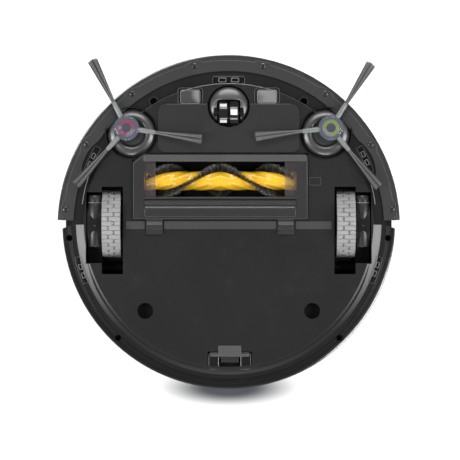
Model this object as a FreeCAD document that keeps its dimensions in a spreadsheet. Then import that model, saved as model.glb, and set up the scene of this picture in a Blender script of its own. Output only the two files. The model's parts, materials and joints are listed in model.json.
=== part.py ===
import FreeCAD, Part
import os
import re
import Sketcher

# Robot vacuum cleaner, built around the centre of its round body.
# +Z is up, the floor is z = 0, and the bumper faces -Y.
# "left" pieces lie at -X and "right" pieces at +X.

DOC = FreeCAD.newDocument("robot_vacuum")
SHEET = DOC.addObject("Spreadsheet::Sheet", "Sizes")
NODES = []
SIDES = {"left": -1, "right": 1}

SIZES = {
    # body
    "body_radius": 167.5,
    "wheel_headroom": 6.0,
    "cover_rise": 4.5,
    "front_wall_inset": 9.5,
    "shell_wall": 2.5,
    "shell_underside": 12.9,
    "split_end_y": 7.8,
    "split_inner_y": 1.9,
    "split_shoulder": 14.0,
    "front_wall_end": 9.0,
    "end_wall_front": 7.9,
    "end_wall_rear": 10.4,
    "cover_wall": 2.3,
    "split_clearance": 0.3,
    # floor pan
    "plate_underside": 10.0,
    "pan_inset": 10.3,
    "plate_inset": 18.5,
    "plate_front_inset": 21.5,
    "plate_front_shift": 7.0,
    "plate_bevel": 1.0,
    "band_underside": 12.5,
    "band_wall": 2.5,
    "locating_bore_radius": 8.0,
    "locating_bore_depth": 12.0,
    "locating_bore_x": 83.5,
    "locating_bore_y": 88.8,
    "guide_hole_radius": 3.6,
    "guide_hole_x": 75.0,
    "guide_hole_y": 120.7,
    "sleeve_wall": 2.0,
    # bumper
    "bumper_shift": 4.2,
    "bumper_proud": 4.1,
    "bumper_drop": 1.5,
    "bumper_wall": 2.6,
    "bumper_underside": 10.5,
    "bumper_sweep": 175.8,
    "flange_wall": 1.6,
    "flange_inset": 12.1,
    "flange_relief_depth": 4.0,
    "flange_relief_radius": 40.0,
    "flange_relief_bearing": 63.9,
    "bumper_screw_inset": 7.4,
    "window_sweep": 76.0,
    "window_low": 34.0,
    "window_height": 18.0,
    "window_depth": 1.2,
    # screws
    "screw_head_radius": 3.0,
    "screw_head_height": 0.9,
    "screw_shank_radius": 1.4,
    "shell_screw_length": 3.4,
    "shell_screw_sink": 1.2,
    "shell_screw_offset": 3.4,
    # drive wheels
    "wheel_radius": 34.0,
    "wheel_width": 18.5,
    "wheel_centre_x": 117.5,
    "wheel_centre_y": 1.5,
    "rim_width": 14.0,
    "tyre_wall": 7.0,
    "axle_radius": 4.0,
    "running_gap": 0.05,
    "side_gap": 0.6,
    "arm_width": 14.0,
    "arm_head_inset": 8.0,
    "arm_boss_radius": 9.0,
    "pivot_clearance": 10.5,
    "pivot_lift": 6.0,
    "pivot_pin_radius": 3.0,
    "cross_tube_radius": 5.0,
    "post_width": 4.0,
    "post_depth": 12.0,
    "drive_motor_radius": 12.0,
    "drive_motor_length": 18.0,
    "spring_coil_radius": 6.6,
    "spring_wire_side": 1.1,
    "spring_length": 14.0,
    "spring_turns": 7.0,
    "well_gap": 2.5,
    "well_front": 35.4,
    "well_rear": 52.0,
    "housing_well_front": 30.0,
    "housing_well_rear": 41.0,
    # caster
    "caster_y": 116.0,
    "caster_wheel_radius": 12.0,
    "caster_wheel_width": 20.0,
    "caster_trail": 6.5,
    "caster_ball_radius": 20.2,
    "caster_ball_low": 7.4,
    "caster_ball_top": 27.0,
    "caster_gap": 0.8,
    "caster_stem_radius": 5.0,
    "caster_axle_radius": 1.5,
    "caster_axle_length": 31.0,
    "socket_wall": 1.6,
    "socket_top": 36.0,
    "caster_plate_half": 70.5,
    "caster_plate_front": 118.0,
    "caster_plate_rear": 69.6,
    "caster_plate_step": 1.2,
    "caster_plate_corner": 7.0,
    # side brushes
    "pod_x": 97.0,
    "pod_y": 88.8,
    "pod_radius": 25.2,
    "hub_x": 102.0,
    "hub_y": 94.0,
    "hub_radius": 12.8,
    "hub_underside": 3.6,
    "hub_height": 4.0,
    "ring_radius": 8.7,
    "ring_height": 0.8,
    "side_shaft_radius": 4.0,
    "side_shaft_top": 30.0,
    "side_motor_radius": 13.0,
    "side_motor_top": 46.0,
    "sleeve_width": 4.6,
    "sleeve_reach": 29.0,
    "bristle_reach": 77.0,
    "bristle_tip_width": 10.0,
    "bristle_low": 0.8,
    "bristle_height": 1.6,
    # main brush and its chamber
    "brush_x": -8.5,
    "brush_y": 41.6,
    "brush_z": 22.0,
    "brush_radius": 18.5,
    "brush_length": 127.0,
    "core_radius": 9.6,
    "fin_wall": 2.4,
    "journal_radius": 4.0,
    "bearing_radius": 10.5,
    "bearing_length": 13.6,
    "chamber_gap": 2.3,
    "chamber_length": 159.0,
    "tunnel_wall": 11.0,
    "tunnel_top": 46.0,
    "duct_half": 45.0,
    "duct_low": 24.5,
    "duct_high": 41.5,
    "gearbox_gap": 0.4,
    "gearbox_front": 17.0,
    "gearbox_rear": 20.0,
    "gearbox_width": 15.0,
    "brush_motor_y": 30.0,
    "brush_motor_inset": 42.0,
    "brush_motor_lift": 13.0,
    "brush_motor_radius": 12.5,
    "brush_motor_length": 54.0,
    # brush cover
    "cover_length": 174.7,
    "cover_front": 68.1,
    "cover_rear": 3.0,
    "cover_underside": 8.0,
    "cover_plate": 2.4,
    "cover_corner": 8.0,
    "opening_gap": 0.6,
    "hinge_gap": 0.9,
    "mouth_length": 151.8,
    "mouth_front": 60.4,
    "mouth_rear": 25.3,
    "end_window_length": 11.5,
    "blade_rear": 15.8,
    "blade_low": 5.6,
    "clip_spread": 65.7,
    "clip_width": 16.6,
    "clip_reach": 12.3,
    "clip_wall": 1.6,
    # charging contacts and sensors
    "contact_x": 38.4,
    "contact_y": 125.4,
    "contact_length": 18.0,
    "contact_width": 12.0,
    "contact_wall": 0.8,
    "contact_recess": 1.6,
    "contact_margin": 3.0,
    "cliff_length": 32.0,
    "cliff_width": 7.6,
    "cliff_y": 142.3,
    "cliff_wall": 2.1,
    "side_cliff_inset": 16.7,
    "rear_cliff_inset": 14.7,
    "side_cliff_length": 28.0,
    "rear_cliff_length": 28.0,
    "side_cliff_width": 6.5,
    # rear latch
    "latch_x": 1.0,
    "latch_y": 139.0,
    "latch_length": 43.6,
    "latch_width": 18.4,
    "latch_top": 20.0,
    "latch_recess": 1.0,
    "latch_corner": 4.0,
    "socket_length": 21.7,
    "socket_width": 12.2,
    "tongue_length": 18.0,
    "tongue_width": 7.4,
    "tongue_wall": 2.5,
    "tongue_lift": 1.5,
    "tongue_gap": 0.4,
    # lid, bin and dust path
    "lid_half": 82.0,
    "lid_front": 4.3,
    "lid_rear": 75.0,
    "lid_wall": 4.0,
    "lid_gap": 0.5,
    "lid_pin_radius": 1.0,
    "lid_pin_length": 8.0,
    "lid_corner": 10.0,
    "bin_half": 76.0,
    "bin_front": 9.0,
    "bin_headroom": 3.0,
    "bin_rear": 71.0,
    "bin_low": 15.6,
    "bin_wall": 2.0,
    "filter_half": 40.0,
    "filter_low": 25.0,
    "filter_high": 60.0,
    "filter_wall": 4.0,
    "fan_x": -48.0,
    "fan_y": 112.0,
    "fan_radius": 27.0,
    "fan_low": 15.6,
    "fan_motor_headroom": 3.0,
    "fan_top": 50.0,
    "fan_wall": 2.0,
    "impeller_radius": 22.5,
    "impeller_height": 18.0,
    "fan_motor_radius": 14.0,
    "fan_shaft_radius": 2.0,
    # electronics
    "battery_half": 58.0,
    "battery_front": 111.0,
    "battery_rear": 73.0,
    "battery_low": 38.0,
    "battery_headroom": 10.0,
    "battery_corner": 3.0,
    "board_half": 60.0,
    "board_front": 108.0,
    "board_rear": 46.0,
    "board_wall": 1.6,
    "board_headroom": 8.0,
    "switch_x": 44.0,
    "switch_half": 7.0,
    "switch_front": 143.0,
    "switch_rear": 135.0,
    "switch_low": 20.0,
    "switch_high": 30.0,
    # laser turret
    "turret_y": 118.0,
    "turret_radius": 37.0,
    "turret_base_rise": 5.5,
    "turret_window": 7.5,
    "turret_cap_wall": 4.0,
    "rotor_radius": 24.0,
    "rotor_sink": 0.5,
    "rotor_height": 11.0,
    "rotor_shaft_radius": 3.0,
    "pillar_radius": 2.2,
    "pillar_ring": 31.5,
    # start button
    "button_y": 72.0,
    "button_radius": 11.0,
    "button_flange": 1.6,
    "button_rise": 0.9,
    "button_travel": 1.5,
    "button_stem_radius": 2.5,
}

# Sizes that follow from others, written as expressions on the sheet's own.
FOLLOWING = {
    "shell_top": "(wheel_radius * 2 + wheel_headroom)",
    "cover_top": "(shell_top + cover_rise)",
    "front_wall_radius": "(body_radius - front_wall_inset)",
    "pan_radius": "(body_radius - pan_inset)",
    "plate_radius": "(body_radius - plate_inset)",
    "plate_front_radius": "(body_radius - plate_front_inset)",
    "shell_screw_ring": "(pan_radius + shell_screw_offset)",
    "bumper_radius": "(body_radius + bumper_proud)",
    "bumper_top": "(shell_top - bumper_drop)",
    "flange_radius": "(body_radius - flange_inset)",
    "flange_relief_reach": "(flange_radius + flange_relief_depth)",
    "bumper_screw_ring": "(bumper_radius - bumper_screw_inset)",
    "rim_radius": "(wheel_radius - tyre_wall)",
    "arm_head_radius": "(wheel_radius - arm_head_inset)",
    "pivot_y": "(wheel_centre_y + wheel_radius + pivot_clearance)",
    "pivot_z": "(wheel_radius + pivot_lift)",
    "side_cliff_radius": "(body_radius - side_cliff_inset)",
    "rear_cliff_radius": "(body_radius - rear_cliff_inset)",
    "bin_top": "(shell_top - bin_headroom)",
    "fan_motor_top": "(shell_top - fan_motor_headroom)",
    "battery_high": "(shell_top - battery_headroom)",
    "board_low": "(shell_top - board_headroom)",
    "turret_base_top": "(cover_top + turret_base_rise)",
    "rotor_floor": "(cover_top - rotor_sink)",
}


def fill_sheet():
    for row, (alias, value) in enumerate(SIZES.items(), start=1):
        SHEET.set(f"A{row}", alias)
        SHEET.set(f"B{row}", str(value))
        SHEET.setAlias(f"B{row}", alias)
    DOC.recompute()


def on_sheet(text):
    """Point every size named in an expression at its spreadsheet cell."""
    def cell(found):
        name = found.group(0)
        return on_sheet(FOLLOWING[name]) if name in FOLLOWING else f"Sizes.{name}"
    return re.sub(r"[a-z]+(?:_[a-z]+)+", cell, text)


def size(alias):
    return float(SHEET.evalExpression(on_sheet(alias)))


def drive(piece, **properties):
    for name, text in properties.items():
        piece.setExpression(name, on_sheet(text))


def place(piece, x, y, z):
    for axis, text in zip("xyz", (x, y, z)):
        piece.setExpression(f"Placement.Base.{axis}", on_sheet(text))
    return piece


def turn(piece, axis, degrees):
    piece.Placement = FreeCAD.Placement(FreeCAD.Vector(), FreeCAD.Rotation(axis, degrees))


def box(name, low, high):
    piece = DOC.addObject("Part::Box", name)
    spans = [f"({top}) - ({bottom})" for bottom, top in zip(low, high)]
    drive(piece, Length=spans[0], Width=spans[1], Height=spans[2])
    return place(piece, *low)


def rod(name, x, y, z, radius, length, axis="Z"):
    """A cylinder that starts at a point and runs along +X, +Y or +Z."""
    piece = DOC.addObject("Part::Cylinder", name)
    drive(piece, Radius=radius, Height=length)
    if axis == "X":
        turn(piece, FreeCAD.Vector(0, 1, 0), 90)
    if axis == "Y":
        turn(piece, FreeCAD.Vector(1, 0, 0), -90)
    return place(piece, x, y, z)


def fused(name, *pieces):
    piece = DOC.addObject("Part::MultiFuse", name)
    piece.Shapes = list(pieces)
    return piece


def shared(name, *pieces):
    piece = DOC.addObject("Part::MultiCommon", name)
    piece.Shapes = list(pieces)
    return piece


def cut(name, base, *tools):
    piece = DOC.addObject("Part::Cut", name)
    piece.Base = base
    piece.Tool = tools[0] if len(tools) == 1 else fused(f"{name}_tools", *tools)
    return piece


def grouped(name, *pieces):
    piece = DOC.addObject("Part::Compound", name)
    piece.Links = list(pieces)
    return piece


def outlined(body, name, role, points):
    """A closed sketch of straight runs whose corners follow the sheet."""
    sketch = body.newObject("Sketcher::SketchObject", f"{name}_outline")
    planes = [plane for plane in body.Origin.OriginFeatures if plane.Role == role]
    sketch.AttachmentSupport = [(planes[0], "")]
    sketch.MapMode = "FlatFace"
    number = len(points)
    corners = []
    for across, along in points:
        across = SHEET.evalExpression(on_sheet(across))
        along = SHEET.evalExpression(on_sheet(along))
        corners.append(FreeCAD.Vector(across, along, 0))
    runs = [Part.LineSegment(corners[i], corners[(i + 1) % number]) for i in range(number)]
    sketch.addGeometry(runs, False)
    for i in range(number):
        sketch.addConstraint(Sketcher.Constraint("Coincident", i, 2, (i + 1) % number, 1))
    for i, point in enumerate(points):
        for kind, line, text, value in zip(
                ("DistanceX", "DistanceY"), (-2, -1), point, (corners[i].x, corners[i].y)):
            if text == "0":
                sketch.addConstraint(Sketcher.Constraint("PointOnObject", i, 1, line))
                continue
            held = sketch.addConstraint(Sketcher.Constraint(kind, -1, 1, i, 1, value))
            sketch.setExpression(f"Constraints[{held}]", on_sheet(text))
    return sketch


def turned(name, points, sweep="360", role="XZ_Plane"):
    """A solid of revolution about the body's Z axis."""
    body = DOC.addObject("PartDesign::Body", name)
    sketch = outlined(body, name, role, points)
    spin = body.newObject("PartDesign::Revolution", f"{name}_spin")
    spin.Profile = sketch
    spin.ReferenceAxis = (sketch, ["V_Axis"])
    spin.Midplane = True
    drive(spin, Angle=sweep)
    sketch.Visibility = False
    return body


def padded(name, points, length, role="XY_Plane"):
    """A solid of one thickness, drawn on one of the body's own planes."""
    body = DOC.addObject("PartDesign::Body", name)
    sketch = outlined(body, name, role, points)
    pad = body.newObject("PartDesign::Pad", f"{name}_pad")
    pad.Profile = sketch
    drive(pad, Length=length)
    return body


def rounded(name, base, radius, upright):
    """Round the edges of a finished block that pass the test."""
    DOC.recompute()
    piece = DOC.addObject("Part::Fillet", name)
    piece.Base = base
    edges = enumerate(base.Shape.Edges, start=1)
    piece.Edges = [(number, radius, radius) for number, edge in edges if upright(edge)]
    return piece


def is_upright(edge):
    return abs(edge.tangentAt(edge.FirstParameter).z) > 0.99


def node(name, piece):
    piece.Label = name
    NODES.append(piece)
    return piece


# ---------------------------------------------------------------- floor pan and shell


def well_openings(side, sign):
    """The slot over the tyre and the wider slot over the wheel's housing."""
    inner = "wheel_centre_x - wheel_width / 2 - well_gap"
    middle = "wheel_centre_x + wheel_width / 2 + side_gap / 2"
    outer = "wheel_centre_x + wheel_width / 2 + side_gap + arm_width + side_gap * 2"
    spans = {
        "tyre_slot": (inner, middle, "-well_front", "well_rear"),
        "housing_slot": (middle, outer, "-housing_well_front", "housing_well_rear"),
    }
    openings = []
    for name, (near, far, front, rear) in spans.items():
        low_x, high_x = (near, far) if sign > 0 else (f"-({far})", f"-({near})")
        low = (low_x, front, "plate_underside - 1")
        high = (high_x, rear, "band_underside + band_wall + 1")
        openings.append(box(f"{name}_{side}", low, high))
    return openings


def arm_posts(side, sign):
    """The two posts that hold an arm's pivot pins, one each side of the arm."""
    outer = "wheel_centre_x + wheel_width / 2 + side_gap + arm_width + side_gap * 2"
    inner = "wheel_centre_x - wheel_width / 2 - side_gap * 7 - drive_motor_length - post_width * 2"
    posts = []
    for name, near in (("outer_post", outer), ("inner_post", inner)):
        low_x = near if sign > 0 else f"-({near} + post_width)"
        low = (low_x, "pivot_y - post_depth / 2", "band_underside")
        high = (f"({low_x}) + post_width", "pivot_y + post_depth / 2", "pivot_z + arm_boss_radius")
        posts.append(box(f"{name}_{side}", low, high))
    return posts


def locating_sleeves():
    """Round sleeves on the pan's inside that give the underside holes their depth."""
    sleeves = []
    bores = []
    rows = {
        "locating": ("locating_bore_radius", "locating_bore_x", "locating_bore_y"),
        "guide": ("guide_hole_radius", "guide_hole_x", "-guide_hole_y"),
    }
    for kind, (radius, x, y) in rows.items():
        for side, sign in SIDES.items():
            start = "plate_underside + 1"
            sleeves.append(rod(f"{kind}_sleeve_{side}", f"{sign} * {x}", y, start,
                               f"{radius} + sleeve_wall", "locating_bore_depth + 1"))
            bores.append(rod(f"{kind}_bore_{side}", f"{sign} * {x}", y, "plate_underside - 2",
                             radius, "locating_bore_depth + 2"))
    return sleeves, bores


def tilted_slot(name, x, y, turn_angle, length, width, low, high):
    """An upright slot block turned about its own centre."""
    slot = DOC.addObject("Part::Box", name)
    drive(slot, Length=length, Width=width, Height=f"({high}) - ({low})")
    slot.Placement = FreeCAD.Placement(
        FreeCAD.Vector(), FreeCAD.Rotation(FreeCAD.Vector(0, 0, 1), turn_angle))
    half_x = f"({length}) / 2 * cos({turn_angle}) - ({width}) / 2 * sin({turn_angle})"
    half_y = f"({length}) / 2 * sin({turn_angle}) + ({width}) / 2 * cos({turn_angle})"
    return place(slot, f"({x}) - ({half_x})", f"({y}) - ({half_y})", low)


SENSOR_ROWS = {
    "front": ("side_cliff_radius", "side_cliff_length", -24.7),
    "rear": ("rear_cliff_radius", "rear_cliff_length", 18.1),
}


def side_sensor_blocks(kind, gap, low, high):
    blocks = []
    for row, (ring, length, bearing) in SENSOR_ROWS.items():
        for side, sign in SIDES.items():
            angle = bearing if sign > 0 else 180 - bearing
            blocks.append(tilted_slot(
                f"{row}_{kind}_{side}", f"{ring} * cos({angle})", f"{ring} * sin({angle})",
                angle + 90, f"{length} + {gap}", f"side_cliff_width + {gap}", low, high))
    return blocks


def brush_opening(name, gap, low, high):
    return box(
        name,
        (f"brush_x - cover_length / 2 - {gap}", "-cover_front - hinge_gap", low),
        (f"brush_x + cover_length / 2 + {gap}", f"-cover_rear + {gap}", high))


def clip_blocks(kind, gap, low, high):
    """The two latch tabs of the brush cover, or the pockets they lie in."""
    blocks = []
    for side, sign in SIDES.items():
        centre = f"brush_x + {sign} * clip_spread"
        blocks.append(box(
            f"clip_{kind}_{side}",
            (f"{centre} - clip_width / 2 - {gap}", "-cover_rear - 1", low),
            (f"{centre} + clip_width / 2 + {gap}", f"clip_reach + {gap}", high)))
    return blocks


def contact_blocks(kind, grow, low, high):
    blocks = []
    for side, sign in SIDES.items():
        blocks.append(box(
            f"contact_{kind}_{side}",
            (f"{sign} * contact_x - contact_length / 2 - {grow}",
             f"-contact_y - contact_width / 2 - {grow}", low),
            (f"{sign} * contact_x + contact_length / 2 + {grow}",
             f"-contact_y + contact_width / 2 + {grow}", high)))
    return blocks


def latch_block(name, grow, low, high):
    return box(
        name,
        (f"latch_x - latch_length / 2 - {grow}", f"latch_y - latch_width / 2 - {grow}", low),
        (f"latch_x + latch_length / 2 + {grow}", f"latch_y + latch_width / 2 + {grow}", high))


def make_base_pan():
    plate_top = "band_underside + 1"
    discs = []
    for name, radius, shift in (("plate_disc", "plate_radius", "0"),
                                ("front_disc", "plate_front_radius", "plate_front_shift")):
        disc = turned(name, [
            ("0", "plate_underside"),
            (f"{radius} - plate_bevel", "plate_underside"),
            (radius, "plate_underside + plate_bevel"),
            (radius, plate_top),
            ("0", plate_top)])
        discs.append(place(disc, "0", shift, "0"))
    plate = shared("plate", *discs)
    band = rod("band", "0", "0", "band_underside", "pan_radius", "band_wall")
    sleeves, bores = locating_sleeves()
    posts = []
    wells = []
    pods = []
    for side, sign in SIDES.items():
        posts += arm_posts(side, sign)
        wells += well_openings(side, sign)
        pods.append(rod(f"pod_hole_{side}", f"{sign} * pod_x", "-pod_y", "plate_underside - 1",
                        "pod_radius + split_clearance", "band_wall + 6"))
    solid = fused("pan_solid", plate, band, *sleeves, *posts)
    caster_hole = rod("caster_hole", "0", "-caster_y", "plate_underside - 1",
                      "caster_ball_radius + caster_gap",
                      "band_wall + 6")
    front_slot = box("cliff_slot",
                     ("-cliff_length / 2 - split_clearance",
                      "-cliff_y - cliff_width / 2 - split_clearance", "band_underside - 1"),
                     ("cliff_length / 2 + split_clearance",
                      "-cliff_y + cliff_width / 2 + split_clearance",
                      "band_underside + band_wall + 1"))
    pin_line = rod("post_bores", "-body_radius", "pivot_y", "pivot_z", "pivot_pin_radius",
                   "body_radius * 2", "X")
    cuts = [brush_opening("brush_hole", "opening_gap", "plate_underside - 1",
                          "band_underside + band_wall + 1"),
            caster_hole, front_slot,
            latch_block("latch_hole", "split_clearance", "plate_underside - 1",
                        "band_underside + band_wall + 1")]
    cuts += clip_blocks("pocket", "opening_gap", "plate_underside - 1",
                        "cover_underside + clip_wall + 1")
    cuts += contact_blocks("recess", "contact_margin", "plate_underside - 1",
                           "plate_underside + contact_recess")
    cuts += side_sensor_blocks("slot", "split_clearance", "band_underside - 4",
                               "band_underside + band_wall + 1")
    node("base_pan", cut("pan_cut", solid, *cuts, *bores, *wells, *pods, pin_line))


def shell_screw_spots():
    """Bearings of the four underside screws, counted from +X towards +Y."""
    return {"side_right": 5.7, "side_left": 174.3, "rear_right": 46.3, "rear_left": 133.7}


def make_body_shell():
    inner = "body_radius - shell_wall"
    pan_edge = "pan_radius + split_clearance"
    ring = turned("rear_ring", [
        (pan_edge, "shell_underside"),
        ("body_radius - 6.5", "shell_underside + 0.4"),
        ("body_radius - 2.2", "shell_underside + 4.2"),
        ("body_radius", "shell_underside + 11"),
        ("body_radius", "shell_top"),
        (inner, "shell_top"),
        (inner, "shell_underside + 12"),
        ("body_radius - 7.2", "shell_underside + 3.2"),
        (pan_edge, "shell_underside + 2.6")])
    reach = "body_radius + 4"
    rear_half = padded("rear_half", [
        (f"-({reach})", "split_end_y"), ("-body_radius + split_shoulder", "split_inner_y"),
        ("body_radius - split_shoulder", "split_inner_y"), (reach, "split_end_y"),
        (reach, reach), (f"-({reach})", reach)], "cover_top")
    front_low = "band_underside + band_wall"
    tube = cut("front_tube",
               rod("front_outer", "0", "0", front_low, "front_wall_radius",
                   f"shell_top - ({front_low})"),
               rod("front_inner", "0", "0", f"{front_low} - 1", "front_wall_radius - shell_wall",
                   "cover_top"))
    front_half = box("front_half", (f"-({reach})", f"-({reach})", "0"),
                     (reach, "front_wall_end", "cover_top"))
    walls = []
    for side, sign in SIDES.items():
        near = "front_wall_radius - shell_wall - 0.1"
        far = "body_radius - shell_wall + 0.2"
        low_x, high_x = (near, far) if sign > 0 else (f"-({far})", f"-({near})")
        walls.append(box(f"end_wall_{side}", (low_x, "end_wall_front", front_low),
                         (high_x, "end_wall_rear", "shell_top")))
    holes = []
    for spot, bearing in shell_screw_spots().items():
        x = f"shell_screw_ring * cos({bearing})"
        y = f"shell_screw_ring * sin({bearing})"
        holes.append(rod(f"head_hole_{spot}", x, y, "shell_underside - 1", "screw_head_radius + 0.3",
                         "shell_screw_sink + screw_head_height + 1"))
        holes.append(rod(f"shank_hole_{spot}", x, y, "shell_underside", "screw_shank_radius",
                         "shell_screw_sink + shell_screw_length + 2"))
    solid = fused("shell_solid", shared("rear_shell", ring, rear_half),
                  shared("front_shell", tube, front_half), *walls)
    node("body_shell", cut("shell_cut", solid, *holes))


def make_screw(name, x, y, z, length):
    """A countersunk screw with its head down and a shank above it."""
    head = rod(f"{name}_head", x, y, z, "screw_head_radius", "screw_head_height")
    shank = rod(f"{name}_shank", x, y, z, "screw_shank_radius", length)
    return fused(name, head, shank)


def make_shell_screws():
    screws = []
    for spot, bearing in shell_screw_spots().items():
        screws.append(make_screw(f"shell_screw_{spot}", f"shell_screw_ring * cos({bearing})",
                                 f"shell_screw_ring * sin({bearing})", "shell_underside + shell_screw_sink",
                                 "shell_screw_length"))
    node("shell_screws", grouped("shell_screw_set", *screws))


def lid_block(name, grow_front, grow, low, high):
    block = box(name, (f"-lid_half - {grow}", f"lid_front - {grow_front}", low),
                (f"lid_half + {grow}", f"lid_rear + {grow}", high))
    return rounded(f"{name}_round", block, size("lid_corner"), is_rear_corner)


def is_rear_corner(edge):
    return is_upright(edge) and edge.Vertexes[0].Y > size("lid_rear") - 1


LID_PIN_Y = "lid_front + lid_wall / 2"
LID_PIN_Z = "cover_top - lid_wall / 2"


def lid_pin_rods(kind, grow):
    rods = []
    for side, sign in SIDES.items():
        start = "lid_half - lid_pin_length / 2"
        low_x = start if sign > 0 else f"-({start} + lid_pin_length)"
        rods.append(rod(f"lid_{kind}_{side}", low_x, LID_PIN_Y, LID_PIN_Z,
                        f"lid_pin_radius + {grow}", "lid_pin_length", "X"))
    return rods


def make_top_cover():
    under = "cover_top - cover_wall"
    disc = turned("cover_disc", [
        ("0", under), ("body_radius - 16.5", under), ("body_radius - 14.5", "shell_top + 0.3"),
        ("body_radius", "shell_top + 0.3"), ("body_radius - 1.6", "shell_top + 2.1"),
        ("body_radius - 6", "cover_top - 1.1"), ("body_radius - 15.5", "cover_top"),
        ("0", "cover_top")])
    lugs = []
    for side, sign in SIDES.items():
        near = "lid_half + lid_gap + 0.5"
        far = f"{near} + 5"
        low_x, high_x = (near, far) if sign > 0 else (f"-({far})", f"-({near})")
        lugs.append(box(f"hinge_lug_{side}", (low_x, f"{LID_PIN_Y} - 3", f"{LID_PIN_Z} - 3"),
                        (high_x, f"{LID_PIN_Y} + 3", f"{under} + 0.5")))
    opening = lid_block("lid_opening", "1.3", "lid_gap", "shell_top - 2", "cover_top + 1")
    turret = rod("turret_hole", "0", "turret_y", "shell_top - 2", "turret_radius + 0.3", "12")
    button = rod("button_hole", "0", "-button_y", "shell_top - 2", "button_radius + 0.4", "12")
    pins = lid_pin_rods("lug_bore", "0")
    node("top_cover", cut("cover_cut", fused("cover_solid", disc, *lugs),
                          opening, turret, button, *pins))


def make_caster_plate():
    block = box("caster_plate_block",
                ("-caster_plate_half", "-caster_plate_front", "plate_underside - caster_plate_step"),
                ("caster_plate_half", "-caster_plate_rear", "plate_underside"))
    soft = rounded("caster_plate_round", block, size("caster_plate_corner"), is_upright)
    hole = rod("plate_caster_hole", "0", "-caster_y", "0",
               "caster_ball_radius + caster_gap", "20")
    pods = [rod(f"plate_pod_{side}", f"{sign} * pod_x", "-pod_y", "0", "pod_radius + 1.4", "20")
            for side, sign in SIDES.items()]
    node("caster_plate", cut("caster_plate_cut", soft, hole, *pods))


# ---------------------------------------------------------------- bumper


def bumper_ring(name, inner, outer, low, high, sweep):
    """A curved strip centred on the front, following the bumper's circle."""
    strip = turned(name, [
        (f"-({outer})", low), (f"-({outer})", high), (f"-({inner})", high), (f"-({inner})", low)],
        sweep, "YZ_Plane")
    return place(strip, "0", "bumper_shift", "0")


def bumper_screw_spots():
    return [sign * bearing for bearing in (12, 36, 60, 84) for sign in (-1, 1)]


def make_bumper():
    inner = "bumper_radius - bumper_wall"
    flange_top = "bumper_underside + flange_wall"
    skin = turned("bumper_skin", [
        ("-flange_radius", "bumper_underside"),
        ("-bumper_radius + 3.8", "bumper_underside"),
        ("-bumper_radius + 1.4", "bumper_underside + 1.3"),
        ("-bumper_radius", "bumper_underside + 4.5"),
        ("-bumper_radius", "bumper_top - 3"),
        ("-bumper_radius + 1.2", "bumper_top"),
        (f"-({inner})", "bumper_top"),
        (f"-({inner})", f"{flange_top} + 2.6"),
        ("-bumper_radius + 4.4", flange_top),
        ("-flange_radius", flange_top)], "bumper_sweep", "YZ_Plane")
    place(skin, "0", "bumper_shift", "0")
    reliefs = []
    for side, sign in SIDES.items():
        reach = "(flange_relief_reach - flange_relief_radius)"
        reliefs.append(rod(f"flange_relief_{side}", f"{sign} * {reach} * sin(flange_relief_bearing)",
                           f"bumper_shift - {reach} * cos(flange_relief_bearing)",
                           "bumper_underside - 1", "flange_relief_radius", "flange_wall + 2"))
    groove = bumper_ring("window_groove", "bumper_radius - window_depth", "bumper_radius + 2",
                         "window_low", "window_low + window_height", "window_sweep")
    holes = []
    screws = []
    for bearing in bumper_screw_spots():
        x = f"bumper_screw_ring * sin({bearing})"
        y = f"bumper_shift - bumper_screw_ring * cos({bearing})"
        name = f"bumper_screw_{bearing}".replace("-", "minus")
        holes.append(make_screw(f"{name}_hole", x, y, "bumper_underside - 1", "flange_wall + 2"))
        holes[-1].Shapes[0].setExpression("Radius", on_sheet("screw_head_radius + 0.2"))
        holes[-1].Shapes[0].setExpression("Height", on_sheet("screw_head_height + 1.1"))
        screws.append(make_screw(name, x, y, "bumper_underside + 0.1", "flange_wall - 0.1"))
    node("bumper_shell", cut("bumper_cut", skin, groove, *reliefs, *holes))
    node("bumper_screws", grouped("bumper_screw_set", *screws))
    node("bumper_window", bumper_ring(
        "window_strip", "bumper_radius - window_depth", "bumper_radius",
        "window_low + 0.1", "window_low + window_height - 0.1", "window_sweep - 0.2"))


# ---------------------------------------------------------------- drive wheels


def make_wheel(side, sign):
    """A rubber tyre on its rim, and the rim's stub axle that enters the arm."""
    half = "wheel_width / 2"
    centre = (f"{sign} * wheel_centre_x", "wheel_centre_y", "wheel_radius")
    tyre = turned(f"tyre_ring_{side}", [
        ("rim_radius", f"-({half})"), ("wheel_radius - 1.5", f"-({half})"),
        ("wheel_radius", f"-({half}) + 1.5"), ("wheel_radius", f"{half} - 1.5"),
        ("wheel_radius - 1.5", half), ("rim_radius", half)])
    rim = turned(f"rim_disc_{side}", [
        ("0", "-rim_width / 2"), ("rim_radius - 4", "-rim_width / 2"),
        ("rim_radius", "-rim_width / 2 - 1"), ("rim_radius", "rim_width / 2 + 1"),
        ("axle_radius + 4", "rim_width / 2 + 1"), ("axle_radius + 4", half),
        ("axle_radius", half),
        ("axle_radius", f"{half} + side_gap + arm_width - 4"),
        ("0", f"{half} + side_gap + arm_width - 4")])
    for piece in (tyre, rim):
        turn(piece, FreeCAD.Vector(0, 1, 0), 90 * sign)
        place(piece, *centre)
    node(f"tyre_{side}", tyre)
    node(f"rim_{side}", rim)


def along_x(name, sign, near, y, z, radius, length):
    """A rod along X given by its inboard end, mirrored for the left side."""
    low_x = near if sign > 0 else f"-({near} + {length})"
    return rod(name, low_x, y, z, radius, length, "X")


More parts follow.
